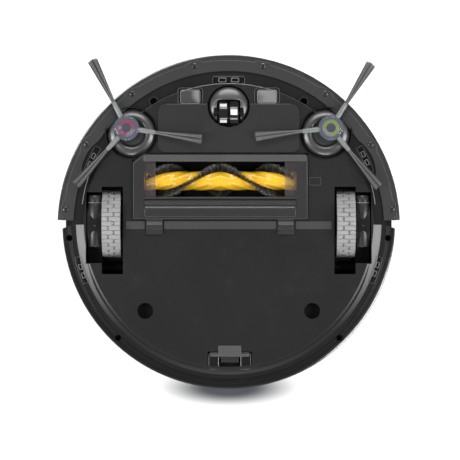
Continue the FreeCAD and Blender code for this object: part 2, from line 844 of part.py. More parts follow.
def make_arm(side, sign):
    """The wheel's gearbox arm, which swings down about a pin behind the wheel."""
    inner_face = "(wheel_centre_x + wheel_width / 2 + side_gap)"
    motor_far = "(wheel_centre_x - wheel_width / 2 - side_gap * 7)"
    head = along_x(f"arm_head_{side}", sign, inner_face, "wheel_centre_y", "wheel_radius",
                   "arm_head_radius", "arm_width")
    boss = along_x(f"arm_boss_{side}", sign, inner_face, "pivot_y", "pivot_z",
                   "arm_boss_radius", "arm_width")
    link = padded(f"arm_link_{side}", [
        ("wheel_centre_y", "wheel_radius + arm_head_radius - 2"),
        ("wheel_centre_y + 10", "wheel_radius - arm_head_radius + 6"),
        ("pivot_y", "pivot_z - arm_boss_radius + 0.5"),
        ("pivot_y", "pivot_z + arm_boss_radius - 0.5")], "arm_width", "YZ_Plane")
    place(link, inner_face if sign > 0 else f"-({inner_face} + arm_width)", "0", "0")
    tube = along_x(f"cross_tube_{side}", sign, motor_far, "pivot_y", "pivot_z",
                   "cross_tube_radius", f"{inner_face} - {motor_far} + 1")
    axle_bore = along_x(f"axle_bore_{side}", sign, f"{inner_face} - 1", "wheel_centre_y",
                        "wheel_radius", "axle_radius + running_gap", "arm_width - 2")
    pin_bore = along_x(f"pin_bore_{side}", sign, f"{motor_far} - 1", "pivot_y", "pivot_z",
                       "pivot_pin_radius + running_gap", "body_radius")
    node(f"wheel_arm_{side}", cut(f"arm_cut_{side}", fused(f"arm_solid_{side}", head, boss, link, tube),
                                  axle_bore, pin_bore))
    motor = along_x(f"motor_can_{side}", sign, f"({motor_far} - drive_motor_length)", "pivot_y",
                    "pivot_z", "drive_motor_radius", "drive_motor_length")
    motor_bore = along_x(f"motor_bore_{side}", sign, f"({motor_far} - drive_motor_length - 1)",
                         "pivot_y", "pivot_z", "pivot_pin_radius + running_gap",
                         "drive_motor_length + 2")
    node(f"drive_motor_{side}", cut(f"motor_cut_{side}", motor, motor_bore))


def make_pivot_pins():
    """Short pins fixed in the pan's posts, two to each arm."""
    outer = "(wheel_centre_x + wheel_width / 2 + side_gap * 3 + arm_width)"
    inner = "(wheel_centre_x - wheel_width / 2 - side_gap * 7 - drive_motor_length - post_width * 2)"
    pins = []
    for side, sign in SIDES.items():
        pins.append(along_x(f"outer_pin_{side}", sign, f"({outer} - arm_width)", "pivot_y", "pivot_z",
                            "pivot_pin_radius", "arm_width + post_width"))
        pins.append(along_x(f"inner_pin_{side}", sign, inner, "pivot_y", "pivot_z",
                            "pivot_pin_radius", "post_width * 2 + drive_motor_length"))
    node("arm_pivot_pins", grouped("pivot_pin_set", *pins))


def make_arm_springs():
    """Square-wire torsion coils round the arms' cross tubes, drawn as one wire each."""
    pitch = size("spring_length") / size("spring_turns")
    coils = []
    for sign in SIDES.values():
        helix = Part.makeHelix(pitch, size("spring_length"), size("spring_coil_radius"))
        inner = size("spring_coil_radius") - size("spring_wire_side") / 2
        outer = inner + size("spring_wire_side")
        half = size("spring_wire_side") / 2
        corners = [(inner, -half), (outer, -half), (outer, half), (inner, half), (inner, -half)]
        section = Part.makePolygon([FreeCAD.Vector(across, 0, along) for across, along in corners])
        coil = Part.Wire(helix).makePipeShell([section], True, True)
        middle = sign * size("wheel_centre_x") - size("spring_length") / 2
        spot = FreeCAD.Vector(middle, size("pivot_y"), size("pivot_z"))
        coil.Placement = FreeCAD.Placement(spot, FreeCAD.Rotation(FreeCAD.Vector(0, 1, 0), 90))
        coils.append(coil)
    springs = DOC.addObject("Part::Feature", "arm_spring_set")
    springs.Shape = Part.makeCompound(coils)
    node("arm_springs", springs)


# ---------------------------------------------------------------- caster


def make_caster():
    socket_radius = "caster_ball_radius + caster_gap + socket_wall"
    socket_low = "band_underside + band_wall + split_clearance"
    ceiling = "caster_ball_top + 1.2"
    socket = turned("socket_cup", [
        ("caster_ball_radius + caster_gap", socket_low), (socket_radius, socket_low),
        (socket_radius, f"{ceiling} + 2"), ("caster_stem_radius + 4", f"{ceiling} + 2"),
        ("caster_stem_radius + 4", "socket_top"),
        ("caster_stem_radius + running_gap", "socket_top"),
        ("caster_stem_radius + running_gap", ceiling),
        ("caster_ball_radius + caster_gap", ceiling)])
    node("caster_socket", place(socket, "0", "-caster_y", "0"))
    dome = turned("caster_dome", [
        ("0", "caster_ball_low"), ("caster_ball_radius * 0.4", "caster_ball_low + 0.6"),
        ("caster_ball_radius * 0.75", "caster_ball_low + 2.4"),
        ("caster_ball_radius", "caster_ball_low + 6"), ("caster_ball_radius", "caster_ball_top"),
        ("caster_stem_radius", "caster_ball_top"), ("caster_stem_radius", "socket_top - 1"),
        ("0", "socket_top - 1")])
    place(dome, "0", "-caster_y", "0")
    room = "caster_wheel_radius + 0.7"
    pocket = box("caster_pocket",
                 ("-caster_wheel_width / 2 - 0.6", f"-caster_y + caster_trail - ({room})", "-1"),
                 ("caster_wheel_width / 2 + 0.6", f"-caster_y + caster_trail + {room}",
                  f"caster_wheel_radius + {room}"))
    axle_x = "-caster_axle_length / 2"
    axle_y = "-caster_y + caster_trail"
    bore = rod("caster_axle_bore", axle_x, axle_y, "caster_wheel_radius", "caster_axle_radius",
               "caster_axle_length", "X")
    node("caster_ball", cut("caster_ball_cut", dome, pocket, bore))
    node("caster_axle", rod("caster_axle_rod", axle_x, axle_y, "caster_wheel_radius",
                            "caster_axle_radius", "caster_axle_length", "X"))
    half = "caster_wheel_width / 2"
    wheel = turned("caster_roller", [
        ("caster_axle_radius + running_gap", f"-({half})"),
        ("caster_wheel_radius - 2", f"-({half})"), ("caster_wheel_radius", f"-({half}) + 2.5"),
        ("caster_wheel_radius", f"{half} - 2.5"), ("caster_wheel_radius - 2", half),
        ("caster_axle_radius + running_gap", half)])
    turn(wheel, FreeCAD.Vector(0, 1, 0), 90)
    node("caster_wheel", place(wheel, "0", axle_y, "caster_wheel_radius"))


# ---------------------------------------------------------------- side brushes

ARM_BEARINGS = {"left": (243.2, 131.6, 8.7), "right": (302.1, 173.4, 50.9)}


def brush_arm(x, y, bearing):
    """A clamped sleeve and its bristle fan, which dips towards the floor."""
    root = size("hub_radius") + 0.1
    sleeve_low = size("hub_underside") + 0.6
    sleeve_high = size("hub_underside") + size("hub_height") - 0.4
    reach = size("sleeve_reach")
    tip = size("bristle_reach")
    low = size("bristle_low")
    thick = size("bristle_height")
    knee = reach + (tip - reach) / 3
    stations = [
        (root, size("sleeve_width"), sleeve_low, sleeve_high),
        (reach, size("sleeve_width") - 0.8, sleeve_low, sleeve_high),
        (reach + 0.5, size("sleeve_width") - 1.8, sleeve_low + 0.4, sleeve_high - 0.6),
        (knee, size("sleeve_width"), low + 1.2, low + 1.2 + thick),
        (tip, size("bristle_tip_width"), low, low + thick),
    ]
    wires = []
    for along, width, bottom, top in stations:
        half = width / 2
        ring = [(along, -half, bottom), (along, half, bottom), (along, half, top),
                (along, -half, top), (along, -half, bottom)]
        wires.append(Part.makePolygon([FreeCAD.Vector(*corner) for corner in ring]))
    arm = Part.makeLoft(wires, True, True)
    arm.Placement = FreeCAD.Placement(
        FreeCAD.Vector(x, y, 0), FreeCAD.Rotation(FreeCAD.Vector(0, 0, 1), bearing))
    return arm


def make_side_brush(side, sign):
    x = f"{sign} * hub_x"
    y = "-hub_y"
    disc = rod(f"hub_disc_{side}", x, y, "hub_underside", "hub_radius", "hub_height")
    shaft = rod(f"hub_shaft_{side}", x, y, "hub_underside + 1", "side_shaft_radius",
                "side_shaft_top - hub_underside - 1")
    node(f"side_brush_hub_{side}", fused(f"hub_solid_{side}", disc, shaft))
    node(f"side_brush_ring_{side}", rod(f"ring_disc_{side}", x, y, "hub_underside - ring_height",
                                        "ring_radius", "ring_height"))
    arms = [brush_arm(sign * size("hub_x"), -size("hub_y"), bearing)
            for bearing in ARM_BEARINGS[side]]
    bristles = DOC.addObject("Part::Feature", f"arm_set_{side}")
    bristles.Shape = Part.makeCompound(arms)
    node(f"side_brush_arms_{side}", bristles)


def make_side_drive(side, sign):
    """The dished pod round a side brush, and the motor that turns it."""
    low = "band_underside + 0.1"
    pod = turned(f"pod_dish_{side}", [
        ("0", low), ("pod_radius * 0.44", low), ("pod_radius * 0.56", f"{low} + 1.4"),
        ("pod_radius * 0.66", f"{low} + 2.4"), ("pod_radius * 0.8", f"{low} + 2.4"),
        ("pod_radius * 0.92", f"{low} + 1"), ("pod_radius * 0.96", low), ("pod_radius", low),
        ("pod_radius", f"{low} + 4.4"), ("0", f"{low} + 4.4")])
    place(pod, f"{sign} * pod_x", "-pod_y", "0")
    hub_hole = rod(f"pod_shaft_hole_{side}", f"{sign} * hub_x", "-hub_y", "0",
                   "side_shaft_radius + 1", "40")
    inside = rod(f"pod_limit_{side}", "0", "0", "0",
                 "front_wall_radius - shell_wall - split_clearance", "40")
    node(f"side_brush_pod_{side}", cut(f"pod_cut_{side}", shared(f"pod_trim_{side}", pod, inside),
                                       hub_hole))
    can_low = f"{low} + 4.6"
    can = rod(f"side_motor_can_{side}", f"{sign} * hub_x", "-hub_y", can_low, "side_motor_radius",
              f"side_motor_top - ({can_low})")
    bore = rod(f"side_motor_bore_{side}", f"{sign} * hub_x", "-hub_y", "0",
               "side_shaft_radius + running_gap", "side_shaft_top + 1")
    node(f"side_brush_motor_{side}", cut(f"side_motor_cut_{side}", can, bore))


# ---------------------------------------------------------------- main brush


def make_main_brush():
    half = "brush_length / 2"
    y, z = "-brush_y", "brush_z"
    core = rod("core_rod", f"brush_x - {half}", y, z, "core_radius", "brush_length", "X")
    journal = rod("journal_rod", f"brush_x - chamber_length / 2 + 2", y, z, "journal_radius",
                  "chamber_length - 4", "X")
    node("brush_core", fused("core_solid", core, journal))
    fins = []
    for step in range(6):
        fin = DOC.addObject("Part::Box", f"fin_{step}")
        drive(fin, Length="brush_length", Width="fin_wall", Height="brush_radius - core_radius + 0.5")
        angle = 60 * step
        turn(fin, FreeCAD.Vector(1, 0, 0), angle)
        root = "(core_radius - 0.5)"
        place(fin, f"brush_x - {half}",
              f"-brush_y - fin_wall / 2 * cos({angle}) - {root} * sin({angle})",
              f"brush_z - fin_wall / 2 * sin({angle}) + {root} * cos({angle})")
        fins.append(fin)
    hollow = rod("fin_hollow", f"brush_x - {half} - 1", y, z, "core_radius",
                 "brush_length + 2", "X")
    envelope = rod("fin_envelope", f"brush_x - {half} - 1", y, z, "brush_radius",
                   "brush_length + 2", "X")
    trimmed = shared("fin_trim", grouped("fin_set", *fins), envelope)
    node("brush_bristles", cut("fin_cut", trimmed, hollow))
    bearings = []
    for side, sign in SIDES.items():
        inner = "chamber_length / 2 - bearing_length - 0.1"
        x = f"brush_x + {inner}" if sign > 0 else f"brush_x - ({inner}) - bearing_length"
        block = rod(f"bearing_block_{side}", x, y, z, "bearing_radius", "bearing_length", "X")
        bore = rod(f"bearing_bore_{side}", f"{x} - 1", y, z, "journal_radius + running_gap",
                   "bearing_length + 2", "X")
        bearings.append(cut(f"bearing_{side}", block, bore))
    node("brush_bearings", grouped("bearing_set", *bearings))


def make_tunnel():
    """The brush chamber, open downwards at the mouth and backwards into the bin."""
    radius = "(brush_radius + chamber_gap)"
    low = "band_underside + band_wall"
    rear = "-cover_rear + opening_gap + 2.8"
    block = box("tunnel_block",
                ("brush_x - chamber_length / 2 - tunnel_wall", "-cover_front - 3.2", low),
                ("brush_x + chamber_length / 2 + tunnel_wall", rear, "tunnel_top"))
    bore = rod("tunnel_bore", "brush_x - chamber_length / 2", "-brush_y", "brush_z", radius,
               "chamber_length", "X")
    throat = box("tunnel_throat",
                 ("brush_x - chamber_length / 2", f"-brush_y - {radius}", f"{low} - 1"),
                 ("brush_x + chamber_length / 2", f"-brush_y + {radius}", "brush_z"))
    duct = box("tunnel_duct", ("-duct_half", "-brush_y", "duct_low"),
               ("duct_half", f"{rear} + 1", "duct_high"))
    drive_hole = rod("tunnel_drive_hole", "brush_x", "-brush_y", "brush_z", "journal_radius + 0.5",
                     "chamber_length", "X")
    pods = [rod(f"tunnel_pod_{side}", f"{sign} * pod_x", "-pod_y", "0",
                "pod_radius + split_clearance", "band_underside + 5") for side, sign in SIDES.items()]
    node("brush_tunnel", cut("tunnel_cut", block, bore, throat, duct, drive_hole, *pods))
    gear_low_x = "brush_x + chamber_length / 2 + tunnel_wall + split_clearance"
    node("brush_gearbox", box(
        "gearbox_block", (gear_low_x, "-brush_y - gearbox_front", f"{low} + gearbox_gap"),
        (f"{gear_low_x} + gearbox_width", "-brush_y + gearbox_rear", "tunnel_top")))
    node("brush_motor", rod(
        "brush_motor_can", "brush_x + chamber_length / 2 - brush_motor_inset", "-brush_motor_y",
        "tunnel_top + brush_motor_lift", "brush_motor_radius", "brush_motor_length", "X"))


def make_brush_cover():
    left = "brush_x - cover_length / 2"
    right = "brush_x + cover_length / 2"
    low = "cover_underside"
    high = "cover_underside + cover_plate"
    plate = padded("cover_slab", [
        (left, "-cover_rear"), (left, "-cover_front + cover_corner"),
        (f"{left} + cover_corner * 1.3", "-cover_front"), (f"{right} - 3", "-cover_front"),
        (right, "-cover_front + 3"), (right, "-cover_rear")], "cover_plate")
    place(plate, "0", "0", low)
    mouth_left = "brush_x - mouth_length / 2"
    mouth_right = "brush_x + mouth_length / 2"
    mouth = box("cover_mouth", (mouth_left, "-mouth_front", f"{low} - 1"),
                (mouth_right, "-mouth_rear", f"{high} + 1"))
    slot = box("blade_slot", (mouth_left, "-mouth_rear - 0.1", f"{low} - 1"),
               (mouth_right, "-blade_rear", f"{high} + 1"))
    bridge = box("blade_bridge", (mouth_left, "-mouth_rear + 3", f"{high} - 0.8"),
                 (mouth_right, "-blade_rear + 0.5", high))
    clips = clip_blocks("tab", "0", low, f"{low} + clip_wall")
    body = fused("cover_solid_all", cut("cover_open", plate, mouth, slot), bridge, *clips)
    node("brush_cover", body)
    node("rubber_blade", box("blade_strip", (f"{mouth_left} + 0.2", "-mouth_rear + 3.2", "blade_low"),
                             (f"{mouth_right} - 0.2", "-blade_rear - 0.2", f"{high} - 0.9")))
    panes = []
    for side, sign in SIDES.items():
        low_x = mouth_left if sign < 0 else f"{mouth_right} - end_window_length"
        panes.append(box(f"end_pane_{side}", (f"{low_x} + 0.1", "-mouth_front + 0.1", f"{low} + 0.2"),
                         (f"{low_x} + end_window_length - 0.1", "-mouth_rear - 0.1", f"{low} + 1.8")))
    node("cover_windows", grouped("pane_set", *panes))


# ---------------------------------------------------------------- contacts, sensors, latch


def make_contacts():
    top = "plate_underside + contact_recess"
    node("charge_contacts", grouped("contact_set", *contact_blocks(
        "pad", "0", f"{top} - contact_wall", top)))


def make_sensors():
    node("front_cliff_sensor", box(
        "cliff_block", ("-cliff_length / 2", "-cliff_y - cliff_width / 2", "band_underside + 0.3"),
        ("cliff_length / 2", "-cliff_y + cliff_width / 2", "band_underside + 0.3 + cliff_wall")))
    node("side_cliff_sensors", grouped("side_sensor_set", *side_sensor_blocks(
        "lens", "0", "band_underside + 0.3", "band_underside + 0.3 + cliff_wall")))


def make_rear_latch():
    low = "plate_underside + latch_recess"
    frame = rounded("latch_frame_round",
                    latch_block("latch_frame_block", "0", low, "latch_top"),
                    size("latch_corner"), is_upright)
    socket = box("latch_socket",
                 ("latch_x - socket_length / 2", "latch_y - socket_width / 2", "0"),
                 ("latch_x + socket_length / 2", "latch_y + socket_width / 2", "latch_top - 2"))
    node("rear_latch_frame", cut("latch_frame_cut", frame, socket))
    front = "latch_y - socket_width / 2 + tongue_gap"
    node("latch_tongue", box(
        "tongue_block", ("latch_x - tongue_length / 2", front, f"{low} + tongue_lift"),
        ("latch_x + tongue_length / 2", f"{front} + tongue_width",
         f"{low} + tongue_lift + tongue_wall")))


# ---------------------------------------------------------------- inside the body


def make_dust_bin():
    outer = box("bin_outer", ("-bin_half", "bin_front", "bin_low"), ("bin_half", "bin_rear", "bin_top"))
    inner = box("bin_inner", ("-bin_half + bin_wall", "bin_front + bin_wall", "bin_low + bin_wall"),
                ("bin_half - bin_wall", "bin_rear - bin_wall", "bin_top + 1"))
    mouth = box("bin_mouth", ("-duct_half", "bin_front - 1", "duct_low"),
                ("duct_half", "bin_front + bin_wall + 1", "duct_high"))
    outlet = box("bin_outlet", ("-filter_half + 3", "bin_rear - bin_wall - 1", "filter_low + 3"),
                 ("filter_half - 3", "bin_rear + 1", "filter_high - 3"))
    node("dust_bin", cut("bin_cut", outer, inner, mouth, outlet))
    node("bin_filter", box(
        "filter_block", ("-filter_half", "bin_rear - bin_wall - filter_wall", "filter_low"),
        ("filter_half", "bin_rear - bin_wall", "filter_high")))


def make_fan():
    x, y = "fan_x", "fan_y"
    top = "fan_top"
    housing = turned("fan_scroll", [
        ("fan_shaft_radius + 1", "fan_low"), ("fan_radius", "fan_low"), ("fan_radius", top),
        ("fan_shaft_radius + 1", top), ("fan_shaft_radius + 1", f"{top} - fan_wall"),
        ("fan_radius - fan_wall", f"{top} - fan_wall"), ("fan_radius - fan_wall", "fan_low + fan_wall"),
        ("fan_shaft_radius + 1", "fan_low + fan_wall")])
    node("fan_housing", place(housing, x, y, "0"))
    can = rod("fan_can", x, y, f"{top} + 0.2", "fan_motor_radius", f"fan_motor_top - {top} - 0.2")
    bore = rod("fan_bore", x, y, top, "fan_shaft_radius + running_gap", "12")
    node("fan_motor", cut("fan_motor_cut", can, bore))
    floor = "fan_low + fan_wall + 4"
    wheel = turned("impeller_disc", [
        ("0", floor), ("impeller_radius", floor), ("impeller_radius", f"{floor} + 2"),
        ("impeller_radius * 0.35", f"{floor} + impeller_height"),
        ("fan_shaft_radius", f"{floor} + impeller_height"),
        ("fan_shaft_radius", f"{top} + 11"), ("0", f"{top} + 11")])
    node("fan_impeller", place(wheel, x, y, "0"))


def make_electronics():
    node("battery_pack", rounded("battery_round", box(
        "battery_block", ("-battery_half", "-battery_front", "battery_low"),
        ("battery_half", "-battery_rear", "battery_high")), size("battery_corner"), is_upright))
    node("main_board", box("board_block", ("-board_half", "-board_front", "board_low"),
                           ("board_half", "-board_rear", "board_low + board_wall")))
    switches = [box(f"switch_{side}",
                    (f"{sign} * switch_x - switch_half", "-switch_front", "switch_low"),
                    (f"{sign} * switch_x + switch_half", "-switch_rear", "switch_high"))
                for side, sign in SIDES.items()]
    node("bumper_switches", grouped("switch_set", *switches))


def make_turret():
    base = turned("turret_base", [
        ("rotor_shaft_radius + running_gap", "rotor_floor - 5"), ("turret_radius", "rotor_floor - 3"),
        ("turret_radius", "turret_base_top - 1"), ("turret_radius - 1", "turret_base_top"),
        ("rotor_radius + 2", "turret_base_top"), ("rotor_radius + 2", "rotor_floor"),
        ("rotor_shaft_radius + running_gap", "rotor_floor")])
    node("lidar_base", place(base, "0", "turret_y", "0"))
    rotor = turned("turret_rotor", [
        ("0", "rotor_floor - 4.5"), ("rotor_shaft_radius", "rotor_floor - 4.5"),
        ("rotor_shaft_radius", "rotor_floor + 0.5"), ("rotor_radius", "rotor_floor + 0.5"),
        ("rotor_radius", "rotor_floor + rotor_height"), ("0", "rotor_floor + rotor_height")])
    node("lidar_rotor", place(rotor, "0", "turret_y", "0"))
    cap_low = "turret_base_top + turret_window"
    cap = turned("turret_cap", [
        ("0", cap_low), ("turret_radius - 0.6", cap_low),
        ("turret_radius - 0.6", f"{cap_low} + turret_cap_wall - 1.8"),
        ("turret_radius - 3", f"{cap_low} + turret_cap_wall"),
        ("0", f"{cap_low} + turret_cap_wall")])
    place(cap, "0", "turret_y", "0")
    pillars = [rod(f"pillar_{angle}", f"pillar_ring * cos({angle})",
                   f"turret_y + pillar_ring * sin({angle})", "turret_base_top", "pillar_radius",
                   "turret_window + 1") for angle in (30, 150, 270)]
    node("lidar_cap", fused("turret_cap_solid", cap, *pillars))


def make_lid():
    block = lid_block("lid_slab", "0", "0", "cover_top - lid_wall", "cover_top")
    node("bin_lid", cut("lid_cut", block, *lid_pin_rods("bore", "running_gap")))
    node("lid_hinge_pins", grouped("lid_pin_set", *lid_pin_rods("pin", "0")))


def make_button():
    under = "cover_top - cover_wall"
    cap = rod("button_cap", "0", "-button_y", f"{under} - 1", "button_radius",
              "cover_wall + button_rise + 1")
    flange = rod("button_skirt", "0", "-button_y", f"{under} - 0.3 - button_flange",
                 "button_radius + 2", "button_flange")
    stem = rod("button_stem", "0", "-button_y", "board_low + board_wall + button_travel + 0.4",
               "button_stem_radius", f"{under} - board_low - board_wall - button_travel - 1.4")
    node("start_button", fused("button_solid", cap, flange, stem))


def build():
    fill_sheet()
    make_base_pan()
    make_caster_plate()
    make_body_shell()
    make_shell_screws()
    make_top_cover()
    make_bumper()
    for side, sign in SIDES.items():
        make_wheel(side, sign)
        make_arm(side, sign)
        make_side_brush(side, sign)
        make_side_drive(side, sign)
    make_pivot_pins()
    make_arm_springs()
    make_caster()
    make_main_brush()
    make_tunnel()
    make_brush_cover()
    make_contacts()
    make_sensors()
    make_rear_latch()
    make_dust_bin()
    make_fan()
    make_electronics()
    make_turret()
    make_lid()
    make_button()
    DOC.recompute()


def check():
    """Stop before anything is written if a feature failed or a piece is unsound."""
    for piece in DOC.Objects:
        if "Invalid" in piece.State or "Error" in piece.State:
            raise RuntimeError(f"{piece.Label} failed: {piece.State}")
    for piece in NODES:
        if piece.Shape.isNull() or not piece.Shape.isValid():
            raise RuntimeError(f"{piece.Label} has no sound shape")


def export():
    os.makedirs("parts", exist_ok=True)
    for piece in NODES:
        piece.Shape.exportStep(f"parts/{piece.Label}.step")


build()
check()
export()
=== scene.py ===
import json
import math
import bpy
from mathutils import Matrix, Vector

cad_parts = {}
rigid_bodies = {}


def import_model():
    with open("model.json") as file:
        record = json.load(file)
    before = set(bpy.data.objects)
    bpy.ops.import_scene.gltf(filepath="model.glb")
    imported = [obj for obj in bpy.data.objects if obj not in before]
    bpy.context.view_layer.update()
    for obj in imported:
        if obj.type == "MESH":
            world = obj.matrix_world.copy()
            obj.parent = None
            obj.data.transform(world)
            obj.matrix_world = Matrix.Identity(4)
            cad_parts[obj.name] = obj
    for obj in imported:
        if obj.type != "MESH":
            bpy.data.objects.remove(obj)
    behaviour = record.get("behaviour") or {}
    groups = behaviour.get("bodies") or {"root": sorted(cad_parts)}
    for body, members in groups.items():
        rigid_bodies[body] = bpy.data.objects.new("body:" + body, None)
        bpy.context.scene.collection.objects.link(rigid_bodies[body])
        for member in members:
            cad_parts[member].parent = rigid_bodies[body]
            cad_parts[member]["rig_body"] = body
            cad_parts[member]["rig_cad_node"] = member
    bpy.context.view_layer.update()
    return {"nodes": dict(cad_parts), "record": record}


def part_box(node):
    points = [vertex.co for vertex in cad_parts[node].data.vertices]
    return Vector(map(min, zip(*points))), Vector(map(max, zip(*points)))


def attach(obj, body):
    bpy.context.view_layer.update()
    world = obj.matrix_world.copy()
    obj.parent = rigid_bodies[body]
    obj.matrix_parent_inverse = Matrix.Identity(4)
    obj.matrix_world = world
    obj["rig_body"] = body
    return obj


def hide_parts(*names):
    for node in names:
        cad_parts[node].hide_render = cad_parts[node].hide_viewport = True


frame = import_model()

MM = 0.001
SIDES = {"left": -1, "right": 1}
SAME_POINT = 0.002 * MM  # corners nearer than this are one corner
GOLDEN_TURN = 2.39996  # radians between neighbours that spread evenly over a disc
GRAIN_DEPTH = 0.03 * MM  # depth of the moulded surface grain
BACKDROP_HEIGHT = 97 * MM  # just clear of the turret's top


def middle(node):
    low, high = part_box(node)
    return (low + high) / 2


# ------------------------------------------------------------------ shader maths


class Wire:
    """One socket whose arithmetic adds Math nodes."""

    def __init__(self, finish, socket):
        self.finish = finish
        self.socket = socket

    def math(self, operation, *others):
        values = {i: value for i, value in enumerate((self, *others))}
        return self.finish.add("ShaderNodeMath", {"operation": operation}, values)

    def __add__(self, other):
        return self.math("ADD", other)

    def __radd__(self, other):
        return self.math("ADD", other)

    def __sub__(self, other):
        return self.math("SUBTRACT", other)

    def __rsub__(self, other):
        return self.finish.add("ShaderNodeMath", {"operation": "SUBTRACT"}, {0: other, 1: self})

    def __mul__(self, other):
        return self.math("MULTIPLY", other)

    def __rmul__(self, other):
        return self.math("MULTIPLY", other)

    def __truediv__(self, other):
        return self.math("DIVIDE", other)

    def sharpened(self, low, high):
        settings = {"interpolation_type": "SMOOTHSTEP"}
        return self.finish.add("ShaderNodeMapRange", settings, {0: self, 1: low, 2: high})


class Nodes:
    """A shader tree that starts with its output alone and takes its nodes one by one."""

    def __init__(self, tree, output):
        self.tree = tree
        tree.nodes.clear()
        self.output = tree.nodes.new(output)

    def add(self, kind, settings, inputs, output=0):
        """Add one node of any kind with its settings and inputs, and hand back one output."""
        node = self.tree.nodes.new(kind)
        for name, value in settings.items():
            setattr(node, name, value)
        for name, value in inputs.items():
            self.feed(node.inputs[name], value)
        return Wire(self, node.outputs[output])

    def feed(self, socket, value):
        if isinstance(value, Wire):
            self.tree.links.new(value.socket, socket)
        elif isinstance(value, tuple) and len(value) == 3 and socket.type == "RGBA":
            socket.default_value = (*value, 1)
        else:
            socket.default_value = value


class Finish(Nodes):
    """A material under construction, with a Principled shader at its end."""

    def __init__(self, name):
        self.material = bpy.data.materials.new(name)
        self.material.use_nodes = True
        super().__init__(self.material.node_tree, "ShaderNodeOutputMaterial")
        self.shader = self.tree.nodes.new("ShaderNodeBsdfPrincipled")
        self.feed(self.output.inputs[0], Wire(self, self.shader.outputs[0]))
        self.place = self.add("ShaderNodeTexCoord", {}, {}, "Object")

    def set(self, **values):
        for name, value in values.items():
            self.feed(self.shader.inputs[name.replace("_", " ")], value)

    def noise(self, scale, detail=3.0, roughness=0.55, stretch=(1, 1, 1)):
        place = self.add("ShaderNodeMapping", {}, {"Vector": self.place, "Scale": stretch})
        return self.add("ShaderNodeTexNoise", {}, {
            "Vector": place, "Scale": scale, "Detail": detail, "Roughness": roughness})

    def blend(self, factor, first, second):
        return self.add("ShaderNodeMix", {"data_type": "RGBA"}, {0: factor, 6: first, 7: second}, 2)

    def along(self, axis):
        """How far a point lies along one of the object's own axes."""
        return self.add("ShaderNodeSeparateXYZ", {}, {0: self.place}, "XYZ".index(axis))

    def bump(self, height, depth, strength=1.0):
        return self.add("ShaderNodeBump", {}, {
            "Height": height, "Distance": depth, "Strength": strength})


def mm(*points):
    """Points given in millimetres."""
    return [tuple(value * MM for value in point) for point in points]


def tinted(colour, factor):
    return tuple(min(1.0, channel * factor) for channel in colour)


def moulded_plastic(name, colour, roughness=0.45, grain=2600.0, coat=0.0, dust=0.10, ior=1.46):
    """Moulded plastic: soft colour drift, a fine spark-eroded grain and faint rubbed patches."""
    finish = Finish(name)
    drift = finish.noise(14.0, 4.0)
    grain_height = finish.noise(grain, 2.0)
    rubbed = finish.noise(55.0, 6.0, 0.7, (1, 1, 2.5)).sharpened(0.52, 0.74)
    base = finish.blend(drift, tinted(colour, 0.86), tinted(colour, 1.16))
    worn = finish.blend(rubbed * dust, base, tinted(colour, 1.9))
    finish.set(Base_Color=worn, Roughness=roughness + (drift - 0.5) * 0.10 + rubbed * 0.06,
               Coat_Weight=coat, Coat_Roughness=0.08, IOR=ior,
               Normal=finish.bump(grain_height, GRAIN_DEPTH))
    return finish.material


def gloss_plastic(name, colour, roughness=0.12, coat=0.5, ior=1.5):
    """Polished black plastic with a slight orange-peel and hairline scratches."""
    finish = Finish(name)
    peel = finish.noise(160.0, 2.0)
    smear = finish.noise(38.0, 5.0, 0.65)
    hair = finish.noise(900.0, 2.0, 0.5, (1, 0.06, 1)).sharpened(0.66, 0.72)
    base = finish.blend(smear, tinted(colour, 0.8), tinted(colour, 1.3))
    finish.set(Base_Color=base, Roughness=roughness + smear * 0.10 + hair * 0.12, IOR=ior,
               Coat_Weight=coat, Coat_Roughness=roughness * 0.6,
               Normal=finish.bump(peel + hair * 0.2, 0.00003))
    return finish.material


def pan_plastic():
    """The underside moulding: lighter on its raised plate, and darkened with painted shade where it steps
    down.
    """
    finish = Finish("pan plastic")
    drift = finish.noise(14.0, 4.0)
    rubbed = finish.noise(55.0, 6.0, 0.7, (1, 1, 2.5)).sharpened(0.52, 0.74)
    recessed = finish.along("Z").sharpened(11.4 * MM, 12.2 * MM)
    plate = finish.blend(drift, (0.011, 0.011, 0.0115), (0.017, 0.017, 0.0175))
    # painted shade: the recessed band round the plate takes the darker colour
    plate_tone_with_painted_shade = finish.blend(recessed, finish.blend(rubbed * 0.12, plate, (0.06, 0.06, 0.062)),
                           (0.011, 0.011, 0.012))
    grain = finish.noise(2600.0, 2.0)
    finish.set(Base_Color=plate_tone_with_painted_shade, Roughness=0.46 + (drift - 0.5) * 0.1 - recessed * 0.08, IOR=1.33,
               Normal=finish.bump(grain, 0.00003))
    return finish.material


def skirt_painted_highlight():
    """The rear skirt: a painted highlight, pale beside the wheels and dark again round the back."""
    finish = Finish("rear skirt painted highlight")
    drift = finish.noise(14.0, 4.0)
    rubbed = finish.noise(55.0, 6.0, 0.7).sharpened(0.52, 0.74)
    # painted highlight: the crescent the side lamps make on the skirt, pale near the wheels and dark
    # towards the back
    highlight_falloff = (finish.along("Y") + (drift - 0.5) * (12 * MM)).sharpened(12 * MM, 112 * MM)
    pale = finish.blend(drift, (0.19, 0.19, 0.193), (0.26, 0.26, 0.263))
    finish.set(Base_Color=finish.blend(highlight_falloff, pale, (0.012, 0.012, 0.0125)), IOR=1.38,
               Roughness=0.5 + rubbed * 0.08, Normal=finish.bump(finish.noise(2600.0, 2.0), 0.00003))
    return finish.material


